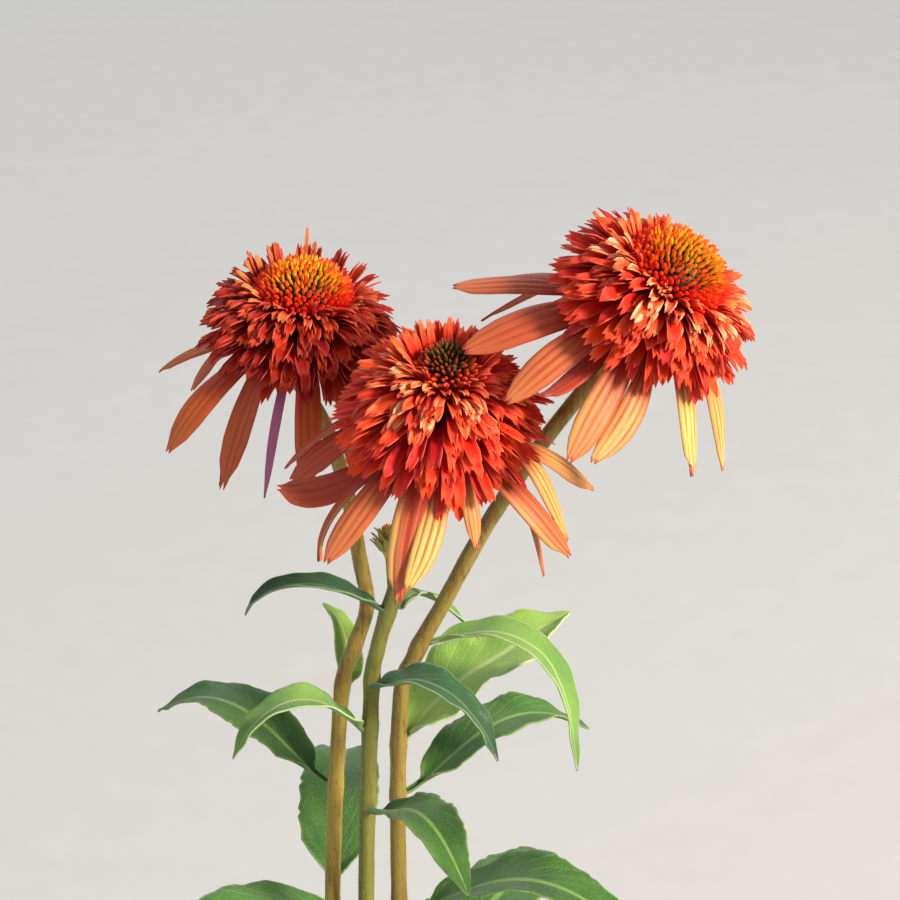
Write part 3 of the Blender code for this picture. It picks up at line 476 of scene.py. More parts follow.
def rayFinish(name, stops, cream, vein):  # a ray's tier is its share of mauve
    finish, tree, shader = newFinish(name, soft=0.1, softDepth=1.0, gloss=0.35)
    where, u, v = surfacePlace(tree)
    tone, mauve, sun = (attribute(tree, key) for key in ("tone", "tier", "sun"))
    own = ownPatch(tree, where, tone, 17.0)
    streak = speckle(tree, own, (9.0, 1.3, 1.0), 3.0)
    wander = nudged(tree, u, streak, 0.13)
    wave = sums(tree, "COSINE", times(tree, sums(tree, "SUBTRACT", wander, 0.5), 8 * math.pi))
    away = fromMiddle(tree, u)
    uneven = speckle(tree, own, (5.0, 2.2, 1.0), 2.0)
    grooves = times(
        tree, spread(tree, wave, -0.2, 1.0), spread(tree, away, 0.72, 0.9, 1.0, 0.1),
        spread(tree, uneven, 0.34, 0.62, 0.15, 1.0),
    )
    # the ramp along the ray darkens toward its root: partly its own red, partly painted shadow under the
    # florets
    length = nudged(tree, v, streak, 0.3)
    # painted sunlight: cream over the outer part of the ray where its sun share is high, less in the grooves
    # and at the margins
    paintedSunStripes = times(
        tree, spread(tree, length, 0.28, 0.66), sun, sums(tree, "MULTIPLY_ADD", grooves, -0.5, 1.0),
        spread(tree, away, 0.55, 1.0, 1.0, 0.55),
    )
    colour = blend(tree, paintedSunStripes, colourRamp(tree, length, stops), cream)
    colour = blend(tree, times(tree, grooves, 0.5), colour, vein)
    fine = speckle(tree, own, (60.0, 3.0, 1.0), 2.0)
    colour = blend(tree, spread(tree, fine, 0.4, 0.75, 0.0, 0.25), colour, vein)
    colour = blend(tree, times(tree, spread(tree, v, 0.965, 1.0), 0.5), colour, "c8463c")
    colour = blend(tree, mauve, colour, "a85a84")
    height = sums(tree, "MULTIPLY_ADD", fine, 0.4, sums(tree, "SUBTRACT", streak, grooves))
    dress(tree, shader, colour, spread(tree, fine, 0.2, 0.8, 0.42, 0.56), height, 0.16, 0.5)
    return finish


def rayUnderFinish(name, base):
    finish, tree, shader = newFinish(name, soft=0.1, softDepth=1.0, gloss=0.3)
    where, u, v = surfacePlace(tree)
    fine = speckle(tree, where, (40.0, 2.0, 1.0), 3.0)
    colour = blend(tree, fine, base, "a4404c")
    colour = blend(tree, spread(tree, v, 0.3, 1.0, 0.0, 0.45), colour, "cf6c4a")
    dress(tree, shader, blend(tree, attribute(tree, "tier"), colour, "a85a84"), 0.5, fine, 0.2)
    return finish


def coneFinish(name, rimStops, middleStops):
    finish, tree, shader = newFinish(name, soft=0.06, softDepth=0.8, gloss=0.25)
    # the ramps run dark at each spike's foot, and the dome between the spikes takes their darkest end: partly
    # the cone's own colour, partly painted shade in the gaps
    height = nudged(tree, surfacePlace(tree)[2], attribute(tree, "tone"), 0.35)
    colour = blend(
        tree, spread(tree, attribute(tree, "tier"), 0.25, 0.9),
        colourRamp(tree, height, rimStops), colourRamp(tree, height, middleStops),
    )
    dress(tree, shader, colour, 0.5, speckle(tree, objectPlace(tree), 900.0), 0.15, 0.4)
    return finish


def greenFinish(name, dark, light, vein, edge="9db36a", rough=0.5):
    finish, tree, shader = newFinish(name, soft=0.1, softDepth=1.0, sheen=0.1)
    where, u, v = surfacePlace(tree)
    place = objectPlace(tree)
    away = fromMiddle(tree, u)
    # side veins leave the midrib and run on toward the tip
    rush = sums(tree, "MULTIPLY_ADD", sums(tree, "POWER", away, 0.7), -0.34, v)
    rush = sums(tree, "MULTIPLY_ADD", speckle(tree, where, (3.0, 8.0, 1.0), 2.0), 0.03, rush)
    wave = sums(tree, "ABSOLUTE", sums(tree, "SINE", times(tree, rush, 34.0)))
    side = spread(tree, wave, 0.0, 0.16, 1.0, 0.0)
    cells = addNode(tree, "ShaderNodeMapping", {"Vector": where, "Scale": (26.0, 90.0, 1.0)}).outputs[0]
    netting = addNode(
        tree, "ShaderNodeTexVoronoi", {"Vector": cells, "Scale": 1.0}, feature="DISTANCE_TO_EDGE",
    ).outputs[0]
    net = spread(tree, netting, 0.0, 0.12, 1.0, 0.0)
    patch = speckle(tree, place, 60.0, 3.0)
    colour = blend(tree, spread(tree, patch, 0.3, 0.7), dark, light)
    colour = blend(tree, times(tree, attribute(tree, "tone"), 0.35), colour, light)
    colour = blend(tree, times(tree, net, 0.16), colour, vein)
    colour = blend(tree, times(tree, side, 0.4), colour, vein)
    colour = blend(tree, times(tree, spread(tree, away, 0.03, 0.11, 1.0, 0.0), 0.75), colour, vein)
    colour = blend(tree, times(tree, spread(tree, away, 0.93, 1.0), 0.6), colour, edge)
    height = sums(tree, "MULTIPLY_ADD", net, -0.35, times(tree, speckle(tree, place, 1400.0), 0.25))
    height = sums(tree, "MULTIPLY_ADD", side, -0.8, height)
    roughness = spread(tree, patch, 0.2, 0.8, rough - 0.06, rough + 0.08)
    dress(tree, shader, colour, roughness, height, 0.35, 0.7)
    return finish


def stemFinish(name, base, streakTone, ridge):
    finish, tree, shader = newFinish(name, soft=0.06, softDepth=0.8, sheen=0.1, gloss=0.35)
    place = objectPlace(tree)
    streak = speckle(tree, place, (700.0, 700.0, 60.0), 3.0, 0.6)
    patch = speckle(tree, place, (60.0, 60.0, 18.0), 2.0)
    dots = speckle(tree, place, 1500.0, 1.0)
    colour = blend(tree, spread(tree, streak, 0.42, 0.7), base, streakTone)
    colour = blend(tree, spread(tree, patch, 0.4, 0.75, 0.0, 0.6), colour, ridge)
    colour = blend(tree, spread(tree, dots, 0.62, 0.72, 0.0, 0.5), colour, "6a2a1e")
    dress(tree, shader, colour, 0.52, sums(tree, "ADD", streak, times(tree, dots, 0.5)))
    return finish


def plainGrain(name, first, second, scale, rough, depth=0.1, gloss=0.4):
    finish, tree, shader = newFinish(name, gloss=gloss)
    grain = speckle(tree, objectPlace(tree), scale, 4.0, 0.6)
    colour = blend(tree, spread(tree, grain, 0.3, 0.7), first, second)
    dress(tree, shader, colour, spread(tree, grain, 0.2, 0.8, rough - 0.05, rough + 0.05), grain, depth)
    return finish


# Blooms. Angles are in degrees and lengths in millimetres, from where the rays spring

matureHead = {
    "core": [(0, 9.8), (7, 12.2), (12.4, 12.0)],  # height and radius
    "lift": [(1.0, -33), (3.4, -15), (5.6, 3), (7.8, 20), (9.8, 36), (12.2, 54)],
    "length": [(1.0, 18.5), (3.4, 19.5), (5.6, 18.5), (7.8, 16), (9.8, 12.5), (12.2, 8.5)],
    "width": [(1.0, 4.3), (5.6, 4.3), (8.8, 3.8), (10.4, 3.0), (12.2, 2.2)],
    "span": (1.0, 12.2),
    "count": 380,
    "dome": {"radius": 12.0, "foot": 12.0, "rise": 10.4, "spikes": 400, "spike": 4.2, "thin": 0.52},
}
youngHead = {
    "core": [(0, 10.2), (8, 9.8), (17.4, 6.9)],
    "lift": [(1.0, -34), (4.2, -15), (7.0, 2), (9.8, 19), (12.2, 35), (14.4, 50), (16.8, 66)],
    "length": [(1.0, 20), (4.2, 21), (7.0, 20), (9.8, 18), (12.2, 15), (14.4, 12), (16.8, 9)],
    "width": [(1.0, 3.8), (7.0, 3.8), (12.2, 3.4), (14.4, 2.6), (16.8, 1.9)],
    "span": (1.0, 16.8),
    "count": 440,
    "dome": {"radius": 6.0, "foot": 17.2, "rise": 6.8, "spikes": 150, "spike": 3.8, "thin": 0.46},
}


# a ray's sun is its share of painted sunlight, and rimSun adds more of it on one margin
def ray(
    angle, reach, drop, width=7.0, arch=0.0, sway=0.0, twist=0.0, notch=1.3, mauve=0.0, sun=0.3, rimSun=0.0,
):
    return {
        "angle": angle, "reach": reach * mm, "drop": drop * mm, "width": width * mm, "arch": arch * mm,
        "sway": sway, "twist": twist, "notch": notch * mm, "mauve": mauve, "sun": sun, "rimSun": rimSun,
    }


# each bloom's sun scales the painted sunlight on its florets; the left bloom's is lowest as it stands in
# shade
blooms = {
    "a": {
        "place": (-21.5, 37.8, 431.0), "lean": 7.0, "toward": -1.0, "turn": -2.0,
        "head": matureHead, "seed": 11, "sun": 0.5, "erect": 1.0,
        "strays": [{"turn": 95, "height": 12, "lift": 78, "length": 16.5, "width": 1.0}],
        "rays": [
            ray(-147, 41, -30, 8.4, -6, sway=3, twist=-15, sun=0.15),
            ray(-126, 30.7, -38.8, 7.4, -4, sway=4, twist=-10, notch=2.6, sun=0.12),
            ray(-98, 29, -38.5, 2.8, -4.5, twist=25, mauve=0.9),
            ray(-74, 29.7, -36.6, 7.2, -1, sun=0.05),
            ray(-44, 31, -34, 6.8, 2, sun=0.1),
            ray(-16, 35, -30, 7.0, 1),
            ray(12, 36, -30),
            ray(40, 37, -31),
            ray(68, 36, -30),
            ray(94, 37, -31),
            ray(120, 38, -29),
            ray(146, 38, -30),
            ray(174, 40, -18, 7.5, -1),
        ],
    },
    "b": {
        "place": (19.7, -20.0, 430.0), "lean": 14.0, "toward": -70.0, "turn": -3.0,
        "head": youngHead, "seed": 23, "sun": 1.1, "erect": 0.45, "strays": [],
        "rays": [
            ray(161, 42.5, -27, 5.0, 3, sway=9, twist=40, notch=1.0, sun=0.0),
            ray(176, 40, -27.5, 8.4, -2, twist=-40, sun=0.0),
            ray(-163, 43.5, -19, 8.4, -25, sway=-3, twist=-35, sun=0.05),
            ray(-156, 43.5, -25, 3.6, -20, sway=24, twist=30, sun=0.1, rimSun=-0.5),
            ray(-128, 41.7, -26.3, 7.4, -6, sway=-2, twist=-15, notch=1.1, sun=0.22),
            ray(-103, 40.7, -31, 8.6, -4.5, sway=4, notch=2.6, sun=0.12, rimSun=0.9),
            ray(-86, 40.6, -25.5, 7.0, -7, sway=-10, notch=1.0, sun=1.0),
            ray(-65, 31, -19.5, 4.4, -1, notch=1.8, sun=0.5),
            ray(-34, 43.6, -25.3, 8.2, -5, sway=7, notch=1.6, sun=0.2, rimSun=0.35),
            ray(-23, 36, -37, 3.0, 2, sway=-2, notch=1.0, sun=0.3),
            ray(-6, 39.5, -27, 6.8, 3, sway=-10, sun=0.75),
            ray(2, 44.5, -20.5, 7.4, -1.5, sway=4, notch=1.0, sun=0.6),
            ray(40, 38, -28, sun=0.6),
            ray(70, 38, -29, sun=0.4),
            ray(100, 37, -30),
            ray(130, 38, -30, sun=0.1),
        ],
    },
    "c": {
        "place": (75.0, -17.4, 462.1), "lean": 32.0, "toward": -17.5, "turn": -14.0,
        "head": matureHead, "seed": 37, "sun": 1.1, "erect": 0.05,
        "strays": [{"turn": 170, "height": 8, "lift": 20, "length": 16.0, "width": 1.4}],
        "rays": [
            ray(185, 47, -25, 7.0, -8, twist=-25, notch=1.0, sun=0.15),
            ray(171, 40, -22.7, 4.5, -5, sway=-3, sun=0.2),
            ray(160, 35, -33.5, 4.0, 2, sway=12, twist=30, sun=0.05),
            ray(-144, 43.4, -28.2, 9.0, -6, twist=-30, notch=0.8, sun=0.1),
            ray(-121, 38, -29.6, 8.0, -5.5, sway=2, twist=-20, notch=1.0, sun=0.2),
            ray(-105, 32.2, -23.6, 5.5, -16, sway=-7, twist=30, sun=0.0),
            ray(-85, 40.4, -29.6, 8.0, -10, notch=1.0, sun=0.3, rimSun=0.3),
            ray(-63, 38, -27.7, 7.2, -9.5, sway=-13, notch=1.0, sun=0.6),
            ray(-32, 38.4, -24.8, 7.0, -2, sway=5, notch=2.4, sun=1.0),
            ray(-8, 42, -24, 7.0, 1, sun=0.85),
            ray(18, 41, -26, sun=0.7),
            ray(44, 40, -27, sun=0.5),
            ray(70, 39, -28),
            ray(98, 40, -27, sun=0.2),
            ray(128, 41, -28, sun=0.1),
        ],
    },
}


def headFrame(bloom):
    toward = math.radians(bloom["toward"])
    return (
        Matrix.Translation(Vector(bloom["place"]) * mm)
        @ Matrix.Rotation(toward, 4, "Z")
        @ Matrix.Rotation(math.radians(bloom["lean"]), 4, "Y")
        @ Matrix.Rotation(math.radians(bloom["turn"]) - toward, 4, "Z")
    )


rayShape = {
    "root": 9.2, "level": -1.4, "across": 16, "along": 26, "thick": 0.38,
    "halfShares": [
        (0, 0.45), (0.2, 0.78), (0.42, 1.04), (0.6, 1.14), (0.76, 1.1), (0.88, 0.86), (0.96, 0.54),
        (1.0, 0.32),
    ],
    "edgeDrop": 0.4, "ribs": 0.09, "groove": 0.12, "curl": 0.25, "wave": 0.4,
    "hub": [(0, -2.6), (9.6, -2.6), (10.4, -1.3), (9.6, -0.3), (0, -0.3)],
}


def twoTeeth(x):  # how far the tip's edge falls back, from 0 at the teeth to -1 beside them
    return -min(abs(abs(x) - 0.5) / 0.5, 1.0)


def rayStations(spec, phase):
    shape = rayShape
    root = Vector((shape["root"], shape["level"])) * mm
    tip = Vector((spec["reach"], spec["drop"]))
    middle = Vector(((root.x + tip.x) * 0.54, root.y + spec["arch"]))
    stations = []
    for k in range(shape["along"] + 1):
        t = k / shape["along"]
        flat = root * (1 - t) ** 2 + middle * 2 * t * (1 - t) + tip * t * t
        slope = (middle - root) * (1 - t) + (tip - middle) * t
        outward, side = spokes(math.radians(spec["angle"] + spec["sway"] * t * t))
        centre = outward * flat.x + upward * flat.y
        forward = (outward * slope.x + upward * slope.y).normalized()
        twist = spec["twist"] * t + 4 * math.sin(4.2 * t + phase)
        normal = forward.cross(Matrix.Rotation(math.radians(twist), 3, forward) @ side)
        half = spec["width"] / 2 * between(shape["halfShares"], t)
        centre += normal * shape["wave"] * mm * math.sin(7.5 * t + phase) * t
        stations.append((centre, forward, normal, half, -shape["edgeDrop"], smoothStep(0.86, 1.0, t)))
    return stations


def makeRays(key, bloom, finishes):
    shape = rayShape
    rng = random.Random(bloom["seed"])
    bm = startMesh()
    faces = set()
    for spec in bloom["rays"]:
        phase = rng.uniform(0, math.tau)
        shallow = min(spec["width"] / (7 * mm), 1.0) ** 2

        def relief(x, v):
            ribs = -math.cos(4 * math.pi * x) * shape["ribs"]
            groove = math.exp(-((x / 0.14) ** 2)) * shape["groove"]
            fade = smoothStep(0.0, 0.15, v) * (1 - 0.85 * smoothStep(0.75, 0.97, v))
            curl = shape["curl"] * math.sin(9 * v + phase * 2 + 1.6 * x) * x * x
            return (ribs - groove + curl) * fade * shallow * mm

        def tip(x):
            return twoTeeth(x) * spec["notch"] * 1.15

        def lit(x):  # rimSun lights one margin more, its sign says which
            extra = abs(spec["rimSun"]) * smoothStep(0.15, 0.85, math.copysign(x, x * spec["rimSun"]))
            return min(spec["sun"] + extra, 1.0)

        faces |= addBlade(
            bm, shape["across"], rayStations(spec, phase), relief, tip,
            tone=rng.random(), tier=spec["mauve"], lit=lit,
        )
    thicken(bm, faces, shape["thick"], 1)
    turnProfile(bm, shape["hub"], 32)
    bm.transform(headFrame(bloom))
    finishPiece(f"bloom{key.upper()}_rays", f"bloom_{key}_rays", bm, finishes)


# the direction the florets' painted sunlight comes from, near the key lamp's
sunDirection = Vector((0.68, -0.42, 0.60))
floretShape = {
    "across": 4, "along": 5, "thick": 0.28, "sink": 2.2,
    "half": [0.34, 0.6, 0.84, 0.98, 0.94, 0.7],
    "bow": [1.7, 1.5, 1.25, 1.0, 0.8, 0.65],
    "bend": -8,
    "frontCurls": [(0, -8), (0.3, -12), (0.5, -58), (0.8, -85), (0.93, -62), (1, -10)],
    "backCurls": [(0, -8), (0.3, -12), (0.5, -45), (0.72, -40), (0.85, -5), (1, 8)],
    "cups": (0.55, 1.35), "rolls": (-0.75, 0.75), "sways": (-15, 15), "curls": (0.4, 1.3),
    "turns": (-0.2, 0.2), "lifts": (-8, 8), "lengths": (0.8, 1.07), "widths": (0.7, 1.25),
    "erectLift": 16, "erectLength": 3.5, "teeth": (1.3, 2.9),
    "tips": [  # how far the five points of an end fall back, as shares of its teeth
        (-1.0, 0.0, -0.8, -0.1, -1.0), (-0.9, -0.2, -0.95, 0.0, -0.8),
        (-0.6, -1.0, 0.0, -1.0, -0.35), (-0.3, -1.0, -0.05, -0.9, -0.5), (-1.0, -0.45, 0.0, -0.5, -1.0),
    ],
}


def floretStations(root, turn, height, lift, length, width, tier, front, rng):
    shape = floretShape
    steps = shape["along"]
    cup = rng.uniform(*shape["cups"])
    roll = rng.uniform(*shape["rolls"])
    sway = rng.uniform(*shape["sways"])
    curl = between(shape["frontCurls"], tier) * front + between(shape["backCurls"], tier) * (1 - front)
    curl *= rng.uniform(*shape["curls"])
    reach = (length + shape["sink"]) * mm
    centre = None
    stations = []
    for k in range(steps + 1):
        t = k / steps
        slope = math.radians(lift + shape["bend"] * t + curl * t ** 2.5)
        outward, side = spokes(turn + math.radians(sway) * t * t)
        forward = outward * math.cos(slope) + upward * math.sin(slope)
        if centre is None:
            centre = outward * root + upward * height - forward * shape["sink"] * mm
        else:
            centre = centre + (forward + last).normalized() * reach / steps
        last = forward
        normal = forward.cross(Matrix.Rotation(roll * t, 3, forward) @ side)
        half = width / 2 * shape["half"][k] * mm
        stations.append((centre, forward, normal, half, shape["bow"][k] * cup, float(k == steps)))
    return stations


def makeFlorets(key, bloom, finishes):
    head, shape = bloom["head"], floretShape
    rng = random.Random(bloom["seed"] + 1)
    frameTurn = headFrame(bloom).to_3x3()
    bm = startMesh()
    low, high = head["span"]

    def addOne(small, k):
        tier = (k + 0.5) / head["count"]
        height = low + (high - low) * tier ** 0.92
        turn = k * goldenAngle + rng.uniform(*shape["turns"])
        front = smoothStep(-0.6, 0.45, -(frameTurn @ spokes(turn)[0]).y)
        erect = bloom["erect"] * (1 - front) * smoothStep(0.76, 0.92, tier)
        lift = between(head["lift"], height) + rng.uniform(*shape["lifts"]) + shape["erectLift"] * erect
        length = between(head["length"], height) * rng.uniform(*shape["lengths"])
        length += shape["erectLength"] * erect
        width = between(head["width"], height) * rng.uniform(*shape["widths"])
        root = between(head["core"], height) * mm
        stations = floretStations(root, turn, height * mm, lift, length, width, tier, front, rng)
        depth = rng.uniform(*shape["teeth"]) * mm * min(width / 3.4, 1.15)
        teeth = rng.choice(shape["tips"])
        # painted sunlight: each floret's sun share grows as its tip faces sunDirection, toward the front and
        # the inner tiers, times the bloom's sun and a random draw
        facing = smoothStep(0.1, 0.95, (frameTurn @ stations[-2][2]).dot(sunDirection))
        sun = bloom["sun"] * facing * (0.2 + 0.8 * smoothStep(0.4, 0.75, tier)) * (0.3 + 0.7 * front)
        sun *= 0.2 + 1.1 * rng.random() ** 1.5

        def tip(x):
            return teeth[round((x + 1) * 2)] * depth

        faces = addBlade(
            small, shape["across"], stations, tip=tip, tone=rng.random(), tier=tier, sun=min(sun, 1.0),
        )
        thicken(small, faces, shape["thick"], 1)

    def addStray(small, k):  # one thin floret that stands out of the head
        stray = bloom["strays"][k]
        root = between(head["core"], stray["height"]) * mm
        spot = math.radians(stray["turn"]), stray["height"] * mm
        stations = floretStations(root, *spot, stray["lift"], stray["length"], stray["width"], 0.9, 0.0, rng)
        faces = addBlade(small, shape["across"], stations, tone=0.3, tier=0.9, sun=0.35)
        thicken(small, faces, shape["thick"], 1)

    inBatches(bm, head["count"], addOne, 12)
    inBatches(bm, len(bloom["strays"]), addStray)
    core = [(radius * 0.97, height) for height, radius in head["core"]]
    turnProfile(bm, [(0, 0.1), *core, (0, head["core"][-1][0])], 24, 2)
    bm.transform(headFrame(bloom))
    finishPiece(f"bloom{key.upper()}_florets", f"bloom_{key}_florets", bm, finishes)


spikeShape = {"sunk": 0.3, "upright": 0.35, "flare": 0.12, "lengths": (0.8, 1.25), "thicks": (0.85, 1.15)}


def makeCone(key, bloom, finish):
    dome, shape = bloom["head"]["dome"], spikeShape
    rng = random.Random(bloom["seed"] + 2)
    radius, foot, rise = dome["radius"], dome["foot"], dome["rise"]
    bm = startMesh()
    profile = [(0, foot - 1), (radius * 0.98, foot - 1)]
    for angle in range(0, 90, 9):
        turn = math.radians(angle)
        profile.append((radius * math.cos(turn), foot + rise * math.sin(turn)))
    profile.append((0, foot + rise))
    turnProfile(bm, profile, 40)
    count = dome["spikes"]

    def addOne(small, k):
        share = (k + 0.5) / count
        flat = math.sqrt(share * (2 - share))  # 0 in the middle, 1 at the rim
        outward = spokes(k * goldenAngle)[0]
        base = outward * radius * flat * 0.99 + upward * (foot + rise * math.sqrt(1 - flat * flat) - 0.3)
        normal = outward * flat * rise + upward * radius * math.sqrt(1 - (flat * 0.97) ** 2)
        lean = normal.normalized().lerp(upward, shape["upright"]) + outward * shape["flare"] * flat
        loose = 0.1 + 0.14 * flat
        lean += Vector((rng.uniform(-loose, loose), rng.uniform(-loose, loose), 0))
        lean.normalize()
        length = dome["spike"] * (0.62 + 0.5 * flat) * rng.uniform(*shape["lengths"])
        thick = dome["thin"] * (1 + 0.5 * smoothStep(0.8, 1.0, flat)) * rng.uniform(*shape["thicks"])
        base -= lean * length * shape["sunk"]
        addSpindle(small, base * mm, lean, length * 1.1 * mm, thick * mm, rng.random(), 1 - share)

    inBatches(bm, count, addOne)
    bm.transform(headFrame(bloom))
    finishPiece(f"bloom{key.upper()}_cone", f"bloom_{key}_cone", bm, [finish])


def addScale(bm, shape, turn, start, slopes, length, width, tone):  # one pointed blade of a bract or a bud
    outward, side = spokes(turn)
    centre = outward * start[0] + upward * start[1]
    steps = shape["along"]
    stations = []
    for k in range(steps + 1):
        t = k / steps
        slope = math.radians(slopes[0] + slopes[1] * t + slopes[2] * t * t)
        forward = outward * math.cos(slope) + upward * math.sin(slope)
        if k:
            centre = centre + forward * length / steps
        half = width / 2 * mm * between(shape["halfShares"], t)
        stations.append((centre, forward, forward.cross(side), half, shape["bow"], 0.0))
    return addBlade(bm, shape["across"], stations, tone=tone)


cupShape = {
    "depth": 8.0, "top": 2.9, "radius": 9.5, "neck": 2.7,
    "tiers": [(14, 8.6, 3.6, 4.6, 2.6), (14, 6.9, 5.0, 5.6, 2.6), (12, 5.0, 6.4, 5.6, 2.4)],
    "across": 4, "along": 7, "thick": 0.5, "bow": -0.5, "rootSlope": 12, "tipSlopes": (-58, -36),
    "halfShares": [(0, 0.8), (0.35, 1.0), (0.75, 0.6), (1, 0.08)],
}


def makeBracts(key, bloom, finishes):
    shape = cupShape
    rng = random.Random(bloom["seed"] + 3)
    bm = startMesh()
    faces = set()
    for number, (count, out, low, length, width) in enumerate(shape["tiers"]):
        for k in range(count):
            turn = math.tau * (k + 0.5 * number + rng.uniform(-0.1, 0.1)) / count
            sized = length * rng.uniform(0.9, 1.15) * mm
            slopes = (shape["rootSlope"], rng.uniform(*shape["tipSlopes"]) - shape["rootSlope"], 0)
            start = (out * mm, -low * mm)
            faces |= addScale(bm, shape, turn, start, slopes, sized, width, rng.random())
    thicken(bm, faces, shape["thick"], 0)
    depth, top, radius = shape["depth"], shape["top"], shape["radius"]
    turnProfile(bm, [
        (0, -depth), (shape["neck"], -depth), (radius * 0.5, -depth * 0.86), (radius * 0.77, -depth * 0.68),
        (radius * 0.94, -depth * 0.5), (radius * 0.97, -top), (0, -top),
    ], 32)
    bm.transform(headFrame(bloom))
    finishPiece(f"bloom{key.upper()}_bracts", f"bloom_{key}_bracts", bm, finishes)


# Stems, in millimetres. A swell is a joint: how much thicker, and how high up

stems = {
    "a": {
        "foot": (-11, 13), "swells": [(0.15, 334), (0.2, 205), (0.2, 246), (0.2, 288), (0.3, 322)],
        "bends": [
            (-13, 16, 170), (-14.5, 21, 245), (-10.9, 27, 316.8), (-6.6, 29, 334),
            (-2.7, 31, 347.2), (-4.7, 33, 361.4), (-8.3, 35, 382.9), (-14.6, 37, 404),
        ],
    },
    "b": {
        "foot": (0, -10), "swells": [(0.35, 366), (0.3, 343), (0.3, 327), (0.3, 300), (0.3, 262), (0.3, 222)],
        "bends": [
            (-1.5, -10, 180), (-3, -8, 260), (-0.7, -6, 336), (1.3, -8, 353.6),
            (5.5, -10, 370.2), (9.5, -12, 384.6), (16, -15.8, 404),
        ],
    },
    "c": {
        "foot": (11, 7), "swells": [(0.4, 347), (0.4, 314), (0.3, 296), (0.3, 256), (0.3, 212), (0.3, 176)],
        "bends": [
            (9.5, 7.5, 180), (6.6, 7, 260), (7.4, 6, 327.3), (11.9, 6, 344.1),
            (20.4, 4, 362.7), (33.4, 0, 391.1), (50.2, -8, 422.7),
        ],
    },
}
stemShape = {
    "soilTop": 118.0, "sunk": 17.0, "footRadius": 2.65, "topRadius": 2.15, "sides": 28, "rings": 170,
    "ridges": 9, "ridge": 0.05, "hairs": 1500, "hairLength": 0.75,
}


def stemCentre(key):
    x, y = stems[key]["foot"]
    foot = stemShape["soilTop"] - stemShape["sunk"] - 1
    points = [Vector((x, y, foot)), Vector((x, y, foot + 14)), Vector((x, y, foot + 28))]
    points += [Vector(bend) for bend in stems[key]["bends"]]
    points = [point * mm for point in points]
    head = headFrame(blooms[key])
    points.append(head @ Vector((0, 0, -(cupShape["depth"] + 4) * mm)))
    points.append(head @ Vector((0, 0, -(cupShape["depth"] - 0.3) * mm)))
    return smoothPath(points, stemShape["rings"] + 1)


def ringsAlong(path):  # a direction across each point of a path, carried on without turning
    found, side = [], None
    for forward in directions(path):
        if side is None:
            side = forward.orthogonal().normalized()
        side = (side - forward * side.dot(forward)).normalized()
        found.append((forward, side, forward.cross(side)))
    return found


def addTube(bm, path, radiusAt, sides):  # a grid rolled round a path, its seam joined and its ends filled
    rings = len(path) - 1
    verts = layGrid(bm, sides, rings)
    turns = ringsAlong(path)
    for vert in verts:
        angle = (vert.co.x + 1) * math.pi
        k = round((vert.co.y + 1) / 2 * rings)
        forward, side, other = turns[k]
        vert.co = path[k] + radiusAt(k, angle) * (side * math.cos(angle) + other * math.sin(angle))
    bmesh.ops.remove_doubles(bm, verts=verts, dist=0.001 * mm)
    bmesh.ops.holes_fill(bm, edges=[edge for edge in bm.edges if edge.is_boundary], sides=0)
    bmesh.ops.recalc_face_normals(bm, faces=bm.faces[:])
    return turns


def makeStem(key, finishes):
    shape = stemShape
    rng = random.Random(40 + ord(key))
    path = stemCentre(key)
    rings = shape["rings"]

    def radiusAt(k, angle):
        share = k / rings
        radius = shape["footRadius"] + (shape["topRadius"] - shape["footRadius"]) * share
        for size, place in stems[key]["swells"]:
            radius += size * math.exp(-((path[k].z / mm - place) / 3.2) ** 2)
        radius += 0.10 * noise.noise(path[k] * 160)
        radius += shape["ridge"] * math.cos(shape["ridges"] * angle + 2 * share)
        return radius * mm

    bm = startMesh()
    turns = addTube(bm, path, radiusAt, shape["sides"])

    def addHair(small, _):
        spot = rng.uniform(0.1, 0.985) * rings
        low = int(spot)
        centre = path[low].lerp(path[low + 1], spot - low)
        forward, side, other = turns[low]
        angle = rng.uniform(0, math.tau)
        out = side * math.cos(angle) + other * math.sin(angle)
        direction = (out + forward * rng.uniform(-0.5, 0.5) + side * rng.uniform(-0.3, 0.3)).normalized()
        length = shape["hairLength"] * rng.uniform(0.5, 1.3) * mm
        root = centre + out * (radiusAt(low, angle) - 0.05 * mm)
        addSpike(small, root, direction, length, 0.035 * mm, 0.012 * mm, 3)

    inBatches(bm, shape["hairs"], addHair)
    finishPiece(f"stem{key.upper()}", f"stem_{key}", bm, finishes)


